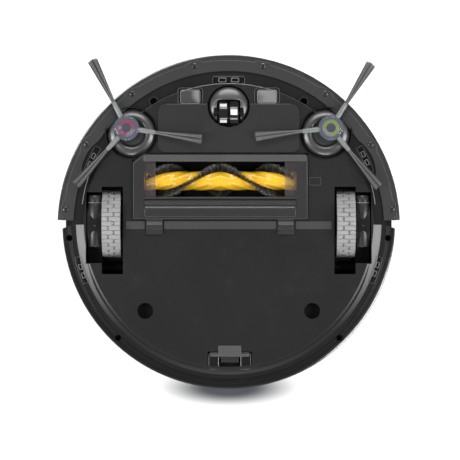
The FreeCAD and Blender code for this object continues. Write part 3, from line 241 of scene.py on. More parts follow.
def rubber(name, colour, roughness=0.75):
    """Matt rubber with a dusty bloom and a coarse moulded skin."""
    finish = Finish(name)
    bloom = finish.noise(90.0, 6.0, 0.7)
    skin = finish.noise(1500.0, 3.0)
    grime = finish.noise(35.0, 4.0).sharpened(0.5, 0.8)
    base = finish.blend(bloom, tinted(colour, 0.82), tinted(colour, 1.15))
    dirty = finish.blend(grime * 0.35, base, tinted(colour, 0.55))
    finish.set(Base_Color=dirty, Roughness=roughness + (bloom - 0.5) * 0.15,
               Normal=finish.bump(skin, 0.00006))
    return finish.material


def metal(name, colour, roughness):
    """Metal with fine directional brushing and light tarnish."""
    finish = Finish(name)
    grain = finish.noise(700.0, 3.0, 0.6, (1, 12, 1))
    tarnish = finish.noise(60.0, 5.0)
    base = finish.blend(tarnish, tinted(colour, 0.8), tinted(colour, 1.15))
    finish.set(Base_Color=base, Metallic=1.0, Roughness=roughness + (grain - 0.5) * 0.18,
               Normal=finish.bump(grain, 0.00001))
    return finish.material


def plated_contact():
    """Bright satin plating with a painted reflection that drifts from one corner of a pad to the other."""
    finish = Finish("plated contact")
    # painted reflection: soft light and dark patches in the colour stand in for the lamps mirrored in the
    # pad
    painted_reflection = finish.noise(42.0, 1.0, 0.4).sharpened(0.38, 0.62)
    brushed = finish.noise(800.0, 3.0, 0.6, (10, 1, 1))
    base = finish.blend(painted_reflection, (0.06, 0.06, 0.062), (0.36, 0.36, 0.365))
    finish.set(Base_Color=finish.blend(brushed * 0.3, base, (0.3, 0.3, 0.31)), Metallic=0.55,
               Roughness=0.34 + (brushed - 0.5) * 0.15, Normal=finish.bump(brushed, 0.00001))
    return finish.material


def tinted_clear(name, colour, alpha, roughness=0.12):
    """Clear tinted plastic with faint flow marks."""
    finish = Finish(name)
    flow = finish.noise(120.0, 4.0, 0.6, (1, 1, 3))
    base = finish.blend(flow, tinted(colour, 0.8), tinted(colour, 1.2))
    finish.set(Base_Color=base, Roughness=roughness + flow * 0.08, Alpha=alpha + (flow - 0.5) * 0.12,
               Coat_Weight=0.6, Coat_Roughness=0.05, Normal=finish.bump(flow, 0.00004))
    return finish.material


def ring_with_painted_glare(name, colour):
    """Coloured marker plastic seen through a clear cap, with pale glare painted into its colour."""
    finish = Finish(name)
    # painted reflection: pale glare patches blended into the ring's colour
    painted_reflection = finish.noise(150.0, 2.0, 0.5).sharpened(0.46, 0.64)
    fleck = finish.noise(420.0, 2.0)
    base = finish.blend(painted_reflection, colour, (0.30, 0.27, 0.32))
    finish.set(Base_Color=finish.blend(fleck * 0.35, base, tinted(colour, 0.4)),
               Roughness=0.16 + fleck * 0.1, Coat_Weight=0.7, Coat_Roughness=0.05,
               Normal=finish.bump(fleck, 0.00004))
    return finish.material


def filament(name, colour, tip, roughness=0.5):
    """Nylon bristle stock, with tone that drifts from strand to strand."""
    finish = Finish(name)
    strand = finish.noise(1400.0, 2.0, 0.5)
    patch = finish.noise(120.0, 3.0)
    base = finish.blend(strand, colour, tip)
    finish.set(Base_Color=finish.blend(patch * 0.4, base, tinted(colour, 0.6)),
               Roughness=roughness + (strand - 0.5) * 0.2, Sheen_Weight=0.25,
               Normal=finish.bump(strand, 0.00005))
    return finish.material


def row_bristle():
    """Roller bristles: brown at the root, grey and dusty at the tip."""
    finish = Finish("roller bristles")
    axis = middle("brush_bristles")
    across = finish.along("Y") - axis.y
    depth = finish.along("Z") - axis.z
    outward = (across * across + depth * depth).math("SQRT")
    tip = outward.sharpened(11.5 * MM, 18.5 * MM)
    strand = finish.noise(1500.0, 2.0, 0.5, (1, 0.4, 0.4))
    root = finish.blend(strand, (0.010, 0.006, 0.003), (0.05, 0.032, 0.018))
    end = finish.blend(strand.sharpened(0.45, 0.62), (0.03, 0.03, 0.031), (0.5, 0.5, 0.5))
    finish.set(Base_Color=finish.blend(tip, root, end), Roughness=0.55 + (strand - 0.5) * 0.2,
               Normal=finish.bump(strand, 0.00004))
    return finish.material


def circuit_board(name):
    finish = Finish(name)
    tracks = finish.noise(260.0, 1.0, 0.4, (1, 0.3, 1)).sharpened(0.48, 0.52)
    base = finish.blend(tracks, (0.01, 0.10, 0.04), (0.03, 0.22, 0.09))
    finish.set(Base_Color=base, Roughness=0.35 + tracks * 0.15,
               Normal=finish.bump(tracks, 0.00004))
    return finish.material


PAN = pan_plastic()
PLATE = moulded_plastic("caster plate plastic", (0.024, 0.024, 0.0245), 0.45, ior=1.36)
BUMPER = moulded_plastic("bumper plastic", (0.034, 0.034, 0.035), 0.5, ior=1.38)
SHELL = moulded_plastic("body shell plastic", (0.006, 0.006, 0.0065), 0.3, coat=0.1)
COVER_GREY = moulded_plastic("brush cover plastic", (0.07, 0.07, 0.072), 0.42)
HATCH = moulded_plastic("brush hatch plastic", (0.026, 0.026, 0.027), 0.36)
DARK = moulded_plastic("inner black plastic", (0.006, 0.006, 0.006), 0.5, ior=1.3)
HOLE = moulded_plastic("shadowed screw well", (0.001, 0.001, 0.001), 0.9, ior=1.1, dust=0.0)
GLOSS = gloss_plastic("polished black", (0.010, 0.010, 0.010))
DISH = gloss_plastic("satin black dish", (0.022, 0.022, 0.023), 0.38, 1.0, 1.8)
TOP_GLOSS = gloss_plastic("top cover black", (0.014, 0.014, 0.015), 0.2, 0.35)
YELLOW = moulded_plastic("yellow plastic", (0.88, 0.50, 0.03), 0.3, grain=900.0, coat=0.3, dust=0.05)
RED = ring_with_painted_glare("red plastic", (0.30, 0.02, 0.07))
GREEN = ring_with_painted_glare("lime plastic", (0.24, 0.34, 0.03))
WHITE = gloss_plastic("white plastic", (0.86, 0.86, 0.86), 0.25, 0.2)
TYRE = rubber("tyre rubber", (0.33, 0.33, 0.335))
RUBBER = rubber("black rubber", (0.025, 0.025, 0.026))
SLEEVE = tinted_clear("sleeve rubber", (0.27, 0.28, 0.285), 0.72, 0.4)
SMOKE = tinted_clear("smoky clear plastic", (0.14, 0.12, 0.13), 0.22)
HUB_CLEAR = tinted_clear("brush hub clear plastic", (0.10, 0.115, 0.155), 0.6)
CAP_CLEAR = tinted_clear("brush cap clear plastic", (0.22, 0.23, 0.29), 0.15, 0.08)
WINDOW = gloss_plastic("infrared window", (0.004, 0.004, 0.005), 0.08, 0.3)
STEEL = metal("steel", (0.55, 0.55, 0.56), 0.28)
BLACK_STEEL = metal("blackened screw steel", (0.10, 0.10, 0.11), 0.35)
CONTACT = plated_contact()
BRISTLES = [filament("dark bristles", (0.016, 0.016, 0.018), (0.035, 0.035, 0.038)),
            filament("grey bristles", (0.085, 0.086, 0.092), (0.14, 0.14, 0.147)),
            filament("pale bristles", (0.22, 0.22, 0.225), (0.36, 0.36, 0.365))]
SOFT_BRISTLE = filament("soft bristles", (0.030, 0.031, 0.033), (0.13, 0.135, 0.145))
BOARD = circuit_board("circuit board")
FILTER = rubber("filter paper", (0.75, 0.74, 0.70), 0.9)
# pale lines laid along seams, rims and bevels: painted highlights where those edges catch the lamps
EDGE_HIGHLIGHT = moulded_plastic("painted edge highlight", (0.24, 0.24, 0.243), 0.3, grain=900.0)
FAINT_EDGE_HIGHLIGHT = moulded_plastic("painted faint edge highlight", (0.09, 0.09, 0.092), 0.4, grain=900.0)
BEVEL = skirt_painted_highlight()
STEP = moulded_plastic("step plastic", (0.050, 0.050, 0.051), 0.40)
LATCH_GREY = moulded_plastic("latch plate plastic", (0.075, 0.075, 0.076), 0.4)
HOUSING = gloss_plastic("drive housing black", (0.018, 0.018, 0.019), 0.36, 0.3)
ROW_BRISTLE = row_bristle()


# ------------------------------------------------------------------ modelling helpers


def clear_selection():
    if bpy.context.object and bpy.context.object.mode != "OBJECT":
        bpy.ops.object.mode_set(mode="OBJECT")
    bpy.ops.object.select_all(action="DESELECT")


def pick(piece):
    clear_selection()
    piece.select_set(True)
    bpy.context.view_layer.objects.active = piece


def settle(piece, name, material):
    """Name a piece, put its place into its mesh and give it its material."""
    pick(piece)
    bpy.ops.object.transform_apply(location=True, rotation=True, scale=True)
    piece.name = name
    piece.data.name = name
    piece.data.materials.clear()
    piece.data.materials.append(material)
    return piece


def apply_modifier(piece, kind, **settings):
    pick(piece)
    modifier = piece.modifiers.new(kind.lower(), kind)
    for name, value in settings.items():
        setattr(modifier, name, value)
    bpy.ops.object.modifier_apply(modifier=modifier.name)


def soften(piece, width, segments=2, angle=32):
    """Round the edges that are sharper than an angle, then shade smooth between them."""
    apply_modifier(piece, "BEVEL", width=width, segments=segments, limit_method="ANGLE",
                   angle_limit=math.radians(angle), use_clamp_overlap=True)
    pick(piece)
    bpy.ops.object.shade_smooth_by_angle(angle=math.radians(angle + 14))
    apply_modifier(piece, "WEIGHTED_NORMAL", keep_sharp=True, weight=60)


def block(name, low, high, material, width=0.4 * MM, segments=2):
    """A box between two corners with rounded edges."""
    low, high = Vector(low), Vector(high)
    clear_selection()
    bpy.ops.mesh.primitive_cube_add(size=1, location=(low + high) / 2)
    piece = bpy.context.object
    piece.scale = high - low
    settle(piece, name, material)
    if width:
        soften(piece, width, segments)
    return piece


def drawn_line(points):
    """A new mesh of one point extruded along a path, left in edit mode."""
    clear_selection()
    bpy.ops.mesh.primitive_plane_add(size=1 * MM, location=(0, 0, 0))
    line = bpy.context.object
    bpy.ops.object.mode_set(mode="EDIT")
    bpy.ops.mesh.select_all(action="SELECT")
    bpy.ops.mesh.merge(type="CENTER")
    here = Vector(points[0])
    bpy.ops.transform.translate(value=here)
    for point in points[1:]:
        step = Vector(point) - here
        bpy.ops.mesh.extrude_region_move(TRANSFORM_OT_translate={"value": step})
        here = Vector(point)
    return line


AXIS_TURNS = {
    "Z": Matrix.Identity(4),
    "X": Matrix.Rotation(math.radians(90), 4, "Y"),
    "Y": Matrix.Rotation(math.radians(-90), 4, "X"),
}


def lathe(name, profile, centre, material, axis="Z", steps=72, sweep=360.0, start=0.0):
    """Draw a profile of (radius, height) corners by extruding one point, and spin it."""
    piece = drawn_line([(radius, 0, height) for radius, height in profile])
    bpy.ops.mesh.select_all(action="SELECT")
    bpy.ops.mesh.spin(steps=steps, angle=-math.radians(sweep), center=(0, 0, 0), axis=(0, 0, 1))
    bpy.ops.mesh.select_all(action="SELECT")
    bpy.ops.mesh.remove_doubles(threshold=0.000001)
    bpy.ops.mesh.normals_make_consistent(inside=False)
    bpy.ops.object.mode_set(mode="OBJECT")
    turn = AXIS_TURNS[axis] @ Matrix.Rotation(math.radians(start), 4, "Z")
    piece.data.transform(Matrix.Translation(centre) @ turn)
    settle(piece, name, material)
    bpy.ops.object.shade_smooth_by_angle(angle=math.radians(35))
    return piece


def ring_profile(inner, outer, low, high, round_off):
    """A closed ring section with its four corners cut back."""
    return [(inner + round_off, low), (outer - round_off, low), (outer, low + round_off),
            (outer, high - round_off), (outer - round_off, high), (inner + round_off, high),
            (inner, high - round_off), (inner, low + round_off), (inner + round_off, low)]


def moved_copy(source, name, matrix):
    piece = source.copy()
    piece.data = source.data.copy()
    piece.name = name
    piece.data.transform(matrix)
    bpy.context.scene.collection.objects.link(piece)
    return piece


def joined(name, pieces):
    clear_selection()
    for piece in pieces:
        piece.select_set(True)
    bpy.context.view_layer.objects.active = pieces[0]
    bpy.ops.object.join()
    pieces[0].name = name
    pieces[0].data.name = name
    return pieces[0]


def repeated(source, name, matrices):
    """Copy a finished shape to many places and join the copies; the source goes."""
    copies = [moved_copy(source, f"{name}_{i}", matrix) for i, matrix in enumerate(matrices)]
    bpy.data.objects.remove(source)
    return joined(name, copies)


def cut_away(piece, *tools):
    for tool in tools:
        apply_modifier(piece, "BOOLEAN", operation="DIFFERENCE", object=tool, solver="EXACT")
        bpy.data.objects.remove(tool)
    return piece


def finished(piece, body, slot, *nodes):
    """Tie a piece to the body that carries it and hide the nodes it stands for."""
    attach(piece, body)
    if nodes:
        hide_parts(*nodes)


BODIES = frame["record"]["behaviour"]["bodies"]
BODY_OF = {node: body for body, nodes in BODIES.items() for node in nodes}
SLOT_OF = {part["node"]: part["material_slot"] for part in frame["record"]["subparts"]}


def merged_copy(node):
    """A loose copy of a node's mesh with its doubled corners merged, left in edit mode."""
    source = frame["nodes"][node]
    piece = source.copy()
    piece.data = source.data.copy()
    piece.parent = None
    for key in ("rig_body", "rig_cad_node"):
        if key in piece:
            del piece[key]
    bpy.context.scene.collection.objects.link(piece)
    piece.hide_viewport = False
    piece.hide_render = False
    piece.hide_set(False)
    pick(piece)
    if piece.data.has_custom_normals:
        bpy.ops.mesh.customdata_custom_splitnormals_clear()
    bpy.ops.object.mode_set(mode="EDIT")
    bpy.ops.mesh.select_all(action="SELECT")
    bpy.ops.mesh.remove_doubles(threshold=SAME_POINT)
    return piece


def shaped_copy(node, material, width):
    """A node's own form with its edges rounded as they leave the mould."""
    piece = merged_copy(node)
    bpy.ops.mesh.dissolve_limited(angle_limit=math.radians(0.6))
    bpy.ops.object.mode_set(mode="OBJECT")
    settle(piece, f"{node}_shaped", material)
    soften(piece, width)
    finished(piece, BODY_OF[node], SLOT_OF[node], node)


# ------------------------------------------------------------------ node finishes

NODE_FINISHES = {
    "base_pan": PAN, "caster_plate": PLATE, "body_shell": SHELL, "top_cover": TOP_GLOSS,
    "shell_screws": BLACK_STEEL, "charge_contacts": CONTACT, "front_cliff_sensor": WINDOW,
    "side_cliff_sensors": WINDOW, "caster_socket": DARK, "side_brush_pod_left": GLOSS,
    "side_brush_pod_right": GLOSS, "side_brush_motor_left": DARK, "side_brush_motor_right": DARK,
    "brush_tunnel": DARK, "brush_bearings": YELLOW, "brush_gearbox": DARK, "brush_motor": STEEL,
    "main_board": BOARD, "battery_pack": DARK, "dust_bin": SMOKE, "bin_filter": FILTER,
    "fan_housing": DARK, "fan_motor": STEEL, "lidar_base": GLOSS, "lidar_cap": TOP_GLOSS,
    # arm_springs take the inner black as painted shade, so they vanish into the dark back of the wheel well
    "rear_latch_frame": DARK, "arm_pivot_pins": STEEL, "arm_springs": DARK,
    "bumper_switches": DARK, "lid_hinge_pins": STEEL, "fan_impeller": WHITE,
    "bumper_shell": BUMPER, "bumper_screws": BLACK_STEEL, "bumper_window": WINDOW,
    "wheel_arm_left": DARK, "wheel_arm_right": DARK, "drive_motor_left": STEEL,
    "drive_motor_right": STEEL, "tyre_left": TYRE, "tyre_right": TYRE, "rim_left": DARK,
    "rim_right": DARK, "caster_ball": GLOSS, "caster_axle": DARK, "caster_wheel": WHITE,
    "brush_core": YELLOW, "brush_bristles": SOFT_BRISTLE, "side_brush_hub_left": HUB_CLEAR,
    "side_brush_hub_right": HUB_CLEAR, "side_brush_ring_left": RED, "side_brush_ring_right": GREEN,
    "side_brush_arms_left": BRISTLES[0], "side_brush_arms_right": BRISTLES[0], "brush_cover": HATCH,
    "cover_windows": SMOKE, "rubber_blade": RUBBER, "bin_lid": GLOSS, "lidar_rotor": DARK,
    "start_button": GLOSS, "latch_tongue": STEEL,
}


def finish_nodes():
    for node, material in NODE_FINISHES.items():
        mesh = frame["nodes"][node].data
        mesh.materials.clear()
        mesh.materials.append(material)


# ------------------------------------------------------------------ casings


def make_casings():
    shaped_copy("base_pan", PAN, 0.5 * MM)
    shaped_copy("caster_plate", PLATE, 0.5 * MM)
    shaped_copy("body_shell", SHELL, 0.4 * MM)
    shaped_copy("top_cover", TOP_GLOSS, 0.6 * MM)
    shaped_copy("bumper_shell", BUMPER, 0.4 * MM)
    shaped_copy("bin_lid", GLOSS, 0.5 * MM)
    shaped_copy("brush_cover", HATCH, 0.4 * MM)
    for side in SIDES:
        shaped_copy(f"wheel_arm_{side}", DARK, 0.5 * MM)


# ------------------------------------------------------------------ drive wheels


def make_tyre(side):
    """A banded tyre with two staggered rows of block lugs."""
    low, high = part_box(f"tyre_{side}")
    centre = (low + high) / 2
    radius = (high.z - low.z) / 2
    half = (high.x - low.x) / 2
    lug_rise = 1.5 * MM
    rim_low, rim_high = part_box(f"rim_{side}")
    bore = (rim_high.z - rim_low.z) / 2
    carcass = lathe(f"tyre_carcass_{side}", [
        (bore, -half), (radius - lug_rise - 1.2 * MM, -half), (radius - lug_rise, -half + 1.2 * MM),
        (radius - lug_rise, half - 1.2 * MM), (radius - lug_rise - 1.2 * MM, half), (bore, half),
        (bore, -half)], centre, TYRE, "X", 96)
    number = 23
    pitch = math.tau / number
    lug_length = radius * pitch / 2 - 0.38 * MM
    blocks = []
    for row in (0, 1):
        for long_lug in (0, 1):
            reach = (2.8 if long_lug else -2.8) * MM - 0.8 * MM
            lug = block(f"lug_{side}", (-half, -lug_length / 2, radius - lug_rise - 0.6 * MM),
                        (reach, lug_length / 2, radius), TYRE, 0.3 * MM, 1)
            turns = []
            for step in range(number):
                angle = pitch * (step + (long_lug + row) / 2)
                flip = Matrix.Rotation(math.pi * row, 4, "Z")
                turns.append(Matrix.Translation(centre) @ Matrix.Rotation(angle, 4, "X") @ flip)
            blocks.append(repeated(lug, f"tyre_lugs_{side}", turns))
    lugs = joined(f"tyre_tread_{side}", blocks)
    tyre = joined(f"tyre_treaded_{side}", [carcass, lugs])
    finished(tyre, f"wheel_{side}", "tyre_grey", f"tyre_{side}")


# ------------------------------------------------------------------ side brushes

ARM_BEARINGS = {"left": (243.2, 131.6, 8.7), "right": (302.1, 173.4, 50.9)}


def make_side_brush(side, sign):
    hub_low, hub_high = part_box(f"side_brush_hub_{side}")
    centre = Vector(((hub_low.x + hub_high.x) / 2, (hub_low.y + hub_high.y) / 2, 0))
    radius = (hub_high.x - hub_low.x) / 2
    under = hub_low.z
    body = f"side_brush_{side}"
    ring_low, ring_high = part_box(f"side_brush_ring_{side}")
    ring_radius = (ring_high.x - ring_low.x) / 2
    hub = lathe(f"hub_dish_{side}", [
        (ring_radius - 1 * MM, under + 0.3 * MM), (radius - 1.2 * MM, under), (radius, under + 1 * MM),
        (radius, under + 3.2 * MM), (radius - 0.8 * MM, under + 4 * MM), (4 * MM, under + 4 * MM),
        (4 * MM, hub_high.z), (0, hub_high.z)], centre, HUB_CLEAR, steps=64)
    finished(hub, body, "smoke_plastic", f"side_brush_hub_{side}")
    ring = lathe(f"hub_ring_{side}", [
        (4.4 * MM, ring_low.z + 0.9 * MM), (4.6 * MM, ring_low.z), (ring_radius - 0.9 * MM, ring_low.z),
        (ring_radius, ring_low.z + 0.8 * MM), (ring_radius, under + 1.2 * MM),
        (4.4 * MM, under + 1.2 * MM), (4.4 * MM, ring_low.z + 0.9 * MM)], centre,
        RED if sign < 0 else GREEN, steps=64)
    slot = "red_plastic" if sign < 0 else "green_plastic"
    finished(ring, body, slot, f"side_brush_ring_{side}")
    screw = lathe(f"hub_screw_{side}", [
        (0, ring_low.z + 0.1 * MM), (3.6 * MM, ring_low.z + 0.1 * MM), (4.3 * MM, ring_low.z + 0.8 * MM),
        (4.3 * MM, under + 1 * MM), (0, under + 1 * MM)], centre, BLACK_STEEL, steps=32)
    bars = []
    for turn in (0, 90):
        bar = block("driver_bar", (-2.4 * MM, -0.45 * MM, -0.8 * MM), (2.4 * MM, 0.45 * MM, 0.8 * MM),
                    BLACK_STEEL, 0)
        spot = centre + Vector((0, 0, ring_low.z - 0.1 * MM))
        bar.data.transform(Matrix.Translation(spot) @ Matrix.Rotation(math.radians(turn + 20), 4, "Z"))
        bars.append(bar)
    cut_away(screw, *bars)
    finished(screw, body, "steel")
    cap = lathe(f"hub_cap_{side}", mm(
        (0, 1.9), (4.0, 2.0), (8.0, 2.3), (10.6, 2.8), (12.0, 3.4), (12.2, 3.6), (11.0, 3.6),
        (9.4, 2.7), (0, 2.3)), centre, CAP_CLEAR, steps=64)
    finished(cap, body, "smoke_plastic")
    make_brush_arms(side, centre, under)


def make_brush_arms(side, centre, under):
    """Three soft sleeves, each holding a fan of nylon strands that dips to the floor."""
    body = f"side_brush_{side}"
    reach = 77 * MM
    sleeve_end = 29 * MM
    sleeves = []
    strands = []
    for bearing in ARM_BEARINGS[side]:
        turn = Matrix.Translation(centre) @ Matrix.Rotation(math.radians(bearing), 4, "Z")
        sleeve = lathe("sleeve", mm(
            (0, 0), (2.5, 0), (2.5, 3), (2.3, 12), (2.0, 16.6), (1.7, 17), (0, 17)),
                       (0, 0, 0), SLEEVE, "X", 20)
        spot = Vector((sleeve_end - 17 * MM, 0, under + 2.1 * MM))
        sleeve.data.transform(turn @ Matrix.Translation(spot) @ Matrix.Diagonal((1, 1.05, 0.72, 1)))
        sleeves.append(sleeve)
        strands += fan_strands(turn, sleeve_end, reach, under)
    finished(joined(f"brush_sleeves_{side}", sleeves), body, "rubber_black")
    fan = joined(f"brush_fans_{side}", strands)
    finished(fan, body, "bristle_grey", f"side_brush_arms_{side}")


def fan_strands(turn, root, reach, under):
    """Fine strands that start packed in the sleeve and spread towards the tip."""
    strands = []
    number = 19
    layers = 3
    for i in range(number):
        spread = i / (number - 1) - 0.5
        layer = (i * 7) % layers - 1
        clear_selection()
        bpy.ops.mesh.primitive_cylinder_add(vertices=6, radius=0.27 * MM, depth=1)
        strand = bpy.context.object
        strand.data.transform(Matrix.Rotation(math.radians(90), 4, "Y"))
        length = reach - root + 2 * MM - (abs(spread) * 2.2 + (i * 13 % 5) * 0.35) * MM
        strand.data.transform(Matrix.Translation((0.5, 0, 0)))
        for corner in strand.data.vertices:
            along = corner.co.x
            corner.co.x = root - 2 * MM + along * length
            corner.co.y += spread * (2.6 + along * 7.0) * MM
            corner.co.z += under + 2.1 * MM + layer * 0.55 * MM - along * 3.0 * MM
        strand.data.materials.append(BRISTLES[(i * 4 + i // 3) % 3])
        strand.data.transform(turn)
        strands.append(strand)
    return strands


# ------------------------------------------------------------------ thin beads and fasteners


def bead(name, points, radius, material):
    """A thin raised line: one point extruded along a path, then given a round section."""
    drawn_line(points)
    bpy.ops.object.mode_set(mode="OBJECT")
    bpy.ops.object.convert(target="CURVE")
    curve = bpy.context.object.data
    curve.bevel_depth = radius
    curve.bevel_resolution = 2
    curve.use_fill_caps = True
    bpy.ops.object.convert(target="MESH")
    piece = settle(bpy.context.object, name, material)
    bpy.ops.object.shade_smooth_by_angle(angle=math.radians(50))
    return piece


def arc(centre, radius, first, last, height, steps=24):
    """Points on a circle between two bearings from +X towards +Y."""
    turns = [math.radians(first + (last - first) * i / steps) for i in range(steps + 1)]
    return [(centre[0] + radius * math.cos(t), centre[1] + radius * math.sin(t), height)
            for t in turns]


def rounded_outline(low, high, corner, height):
    """A closed rectangle outline with rounded corners."""
    points = []
    for x, y, first in ((high[0] - corner, high[1] - corner, 0), (low[0] + corner, high[1] - corner, 90),
                        (low[0] + corner, low[1] + corner, 180), (high[0] - corner, low[1] + corner, 270)):
        points += arc((x, y), corner, first, first + 90, height, 5)
    return points + points[:1]


def screw_head(name, radius, under, over):
    """A pan-head screw with a cross recess, standing on the Z axis."""
    head = lathe(name, [(0, under), (radius * 0.62, under), (radius * 0.92, under + 0.35 * MM),
                        (radius, under + 0.8 * MM), (radius, over), (0, over)],
                 (0, 0, 0), BLACK_STEEL, steps=20)
    for turn in (25, 115):
        bar = block("driver_bar", (-radius * 0.62, -0.3 * MM, -0.6 * MM),
                    (radius * 0.62, 0.3 * MM, 0.6 * MM), BLACK_STEEL, 0)
        bar.data.transform(Matrix.Translation((0, 0, under)) @ Matrix.Rotation(math.radians(turn), 4, "Z"))
        cut_away(head, bar)
    return head


def island_middles(node):
    """The centre of each separate solid in a node, found from its loose parts."""
    merged_copy(node)
    bpy.ops.mesh.separate(type="LOOSE")
    bpy.ops.object.mode_set(mode="OBJECT")
    middles = []
    for part in list(bpy.context.selected_objects):
        corners = [corner.co for corner in part.data.vertices]
        low = Vector([min(c[i] for c in corners) for i in range(3)])
        high = Vector([max(c[i] for c in corners) for i in range(3)])
        middles.append((low + high) / 2)
        bpy.data.objects.remove(part)
    return sorted(middles, key=lambda spot: (round(spot.x, 4), round(spot.y, 4)))


def make_screws(node):
    low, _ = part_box(node)
    spots = island_middles(node)
    head = screw_head("screw_head", 2.9 * MM, low.z, low.z + 1.5 * MM)
    if node == "shell_screws":
        head.data.materials[0] = HOLE
    places = [Matrix.Translation((spot.x, spot.y, 0)) for spot in spots]
    finished(repeated(head, f"{node}_cross", places), BODY_OF[node], "steel", node)


# ------------------------------------------------------------------ roller brush

TWIST = 3.3
ROW_PHASES = (-92.0, 104.0)


def make_roller():
    """A yellow core whose bristle rows wind outwards from its middle as a chevron."""
    low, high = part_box("brush_bristles")
    axis = (low + high) / 2
    half = (high.x - low.x) / 2 + 11.0 * MM
    core = roller_core(axis, half)
    finished(core, "main_brush", "yellow_plastic", "brush_core")
    tuft = bristle_tuft("row_tuft", 8.4 * MM, (high.z - low.z) / 2 - 1.0 * MM, 17, ROW_BRISTLE)
    places = []
    number = 54
    for phase in ROW_PHASES:
        for step in range(-number, number + 1):
            offset = step / number * (half - 1.5 * MM)
            lean = phase + TWIST * abs(offset) / MM + 3.0 * math.sin(step * 2.4)
            places.append(Matrix.Translation((axis.x + offset, axis.y, axis.z))
                          @ Matrix.Rotation(math.pi + math.radians(lean), 4, "X")
                          @ Matrix.Rotation(step * 1.9, 4, "Z"))
    finished(repeated(tuft, "roller_rows", places), "main_brush", "bristle_grey", "brush_bristles")


def row_gap(bearing):
    """The turn between a bearing on the core and the nearest row of bristles."""
    rows = [math.radians(phase - ROW_PHASES[0]) for phase in ROW_PHASES]
    return min(abs(math.remainder(bearing - row, math.tau)) for row in rows)


def roller_core(axis, half):
    """A ribbed section pushed out from the middle in short steps, turning as it goes."""
    clear_selection()
    bpy.ops.mesh.primitive_circle_add(vertices=48, radius=9.3 * MM, fill_type="NGON")
    core = bpy.context.object
    for corner in core.data.vertices:
        bearing = math.atan2(corner.co.y, corner.co.x)
        rib = 0.45 * MM * math.cos(6 * bearing)
        channel = 1.4 * MM if row_gap(bearing) < 0.2 else 0.0
        corner.co *= 1 + (rib - channel) / (9.3 * MM)
    core.data.transform(Matrix.Rotation(math.radians(90), 4, "Y"))
    core.data.transform(Matrix.Rotation(math.radians(ROW_PHASES[0]), 4, "X"))
    bpy.ops.object.mode_set(mode="EDIT")
    bpy.ops.mesh.select_all(action="SELECT")
    steps = 30
    reach = half / steps
    for _ in range(steps):
        bpy.ops.mesh.extrude_region_move(TRANSFORM_OT_translate={"value": (reach, 0, 0)})
        turn = math.radians(TWIST * reach / MM)
        bpy.ops.transform.rotate(value=-turn, orient_axis="X", center_override=(0, 0, 0))
    bpy.ops.object.mode_set(mode="OBJECT")
    apply_modifier(core, "MIRROR", use_axis=(True, False, False), merge_threshold=0.00001)
    pick(core)
    bpy.ops.object.mode_set(mode="EDIT")
    bpy.ops.mesh.select_all(action="SELECT")
    bpy.ops.mesh.remove_doubles(threshold=0.00001)
    bpy.ops.mesh.select_all(action="DESELECT")
    bpy.ops.mesh.select_interior_faces()
    bpy.ops.mesh.delete(type="FACE")
    bpy.ops.mesh.select_all(action="SELECT")
    bpy.ops.mesh.normals_make_consistent(inside=False)
    bpy.ops.object.mode_set(mode="OBJECT")
    core.data.transform(Matrix.Translation(axis))
    settle(core, "roller_core", YELLOW)
    bpy.ops.object.shade_smooth_by_angle(angle=math.radians(40))
    return core


def bristle_tuft(name, root, tip, number, material):
    """A bunch of tapered strands standing on the Z axis between two radii."""
    strands = []
    for i in range(number):
        turn = i * GOLDEN_TURN
        spread = math.sqrt(i / number)
        lean = Matrix.Rotation(0.13 * spread * math.cos(turn), 4, "Y") @ \
            Matrix.Rotation(0.34 * spread * math.sin(turn), 4, "X")
        length = tip - root - (i * 7 % 5) * 0.25 * MM
        clear_selection()
        bpy.ops.mesh.primitive_cone_add(vertices=4, radius1=0.2 * MM, radius2=0.07 * MM, depth=length,
                                        location=(0, 0, length / 2))
        strand = bpy.context.object
        settle(strand, f"strand_{i}", material)
        spot = Matrix.Translation((0.8 * MM * spread * math.cos(turn), 1.0 * MM * spread * math.sin(turn),
                                   root))
        strand.data.transform(spot @ lean)
        strands.append(strand)
    return joined(name, strands)


# ------------------------------------------------------------------ side brush pods


def make_pod(side):
    """A polished ring dish with a proud lip, trimmed where the bumper passes."""
    centre = Vector((SIDES[side] * 97 * MM, -88.8 * MM, 0))
    dish = lathe(f"pod_dish_{side}", mm(
        (5, 16.8), (5, 15.2), (11.6, 14.8), (12.6, 13.2), (13.2, 11.4), (14.2, 10.2),
        (15.6, 9.7), (17.0, 9.7), (18.6, 10.1), (20.2, 10.8), (21.7, 11.7), (23.0, 12.8),
        (24.1, 14.0), (25.0, 15.2), (25.1, 16.8), (5, 16.8)),
        centre, DISH, steps=96)
    lip = lathe(f"pod_lip_{side}", ring_profile(25.3 * MM, 26.7 * MM, 9.3 * MM, 10.6 * MM, 0.45 * MM),
                centre, GLOSS, steps=96)
    pod = joined(f"pod_polished_{side}", [dish, lip])
    rim = lathe("trim_ring", [(154.8 * MM, 0), (200 * MM, 0), (200 * MM, 0.03), (154.8 * MM, 0.03),
                              (154.8 * MM, 0)], (0, 0, 0), GLOSS, steps=160)
    cut_away(pod, rim)
    finished(pod, "chassis", "gloss_black", f"side_brush_pod_{side}")


# ------------------------------------------------------------------ caster


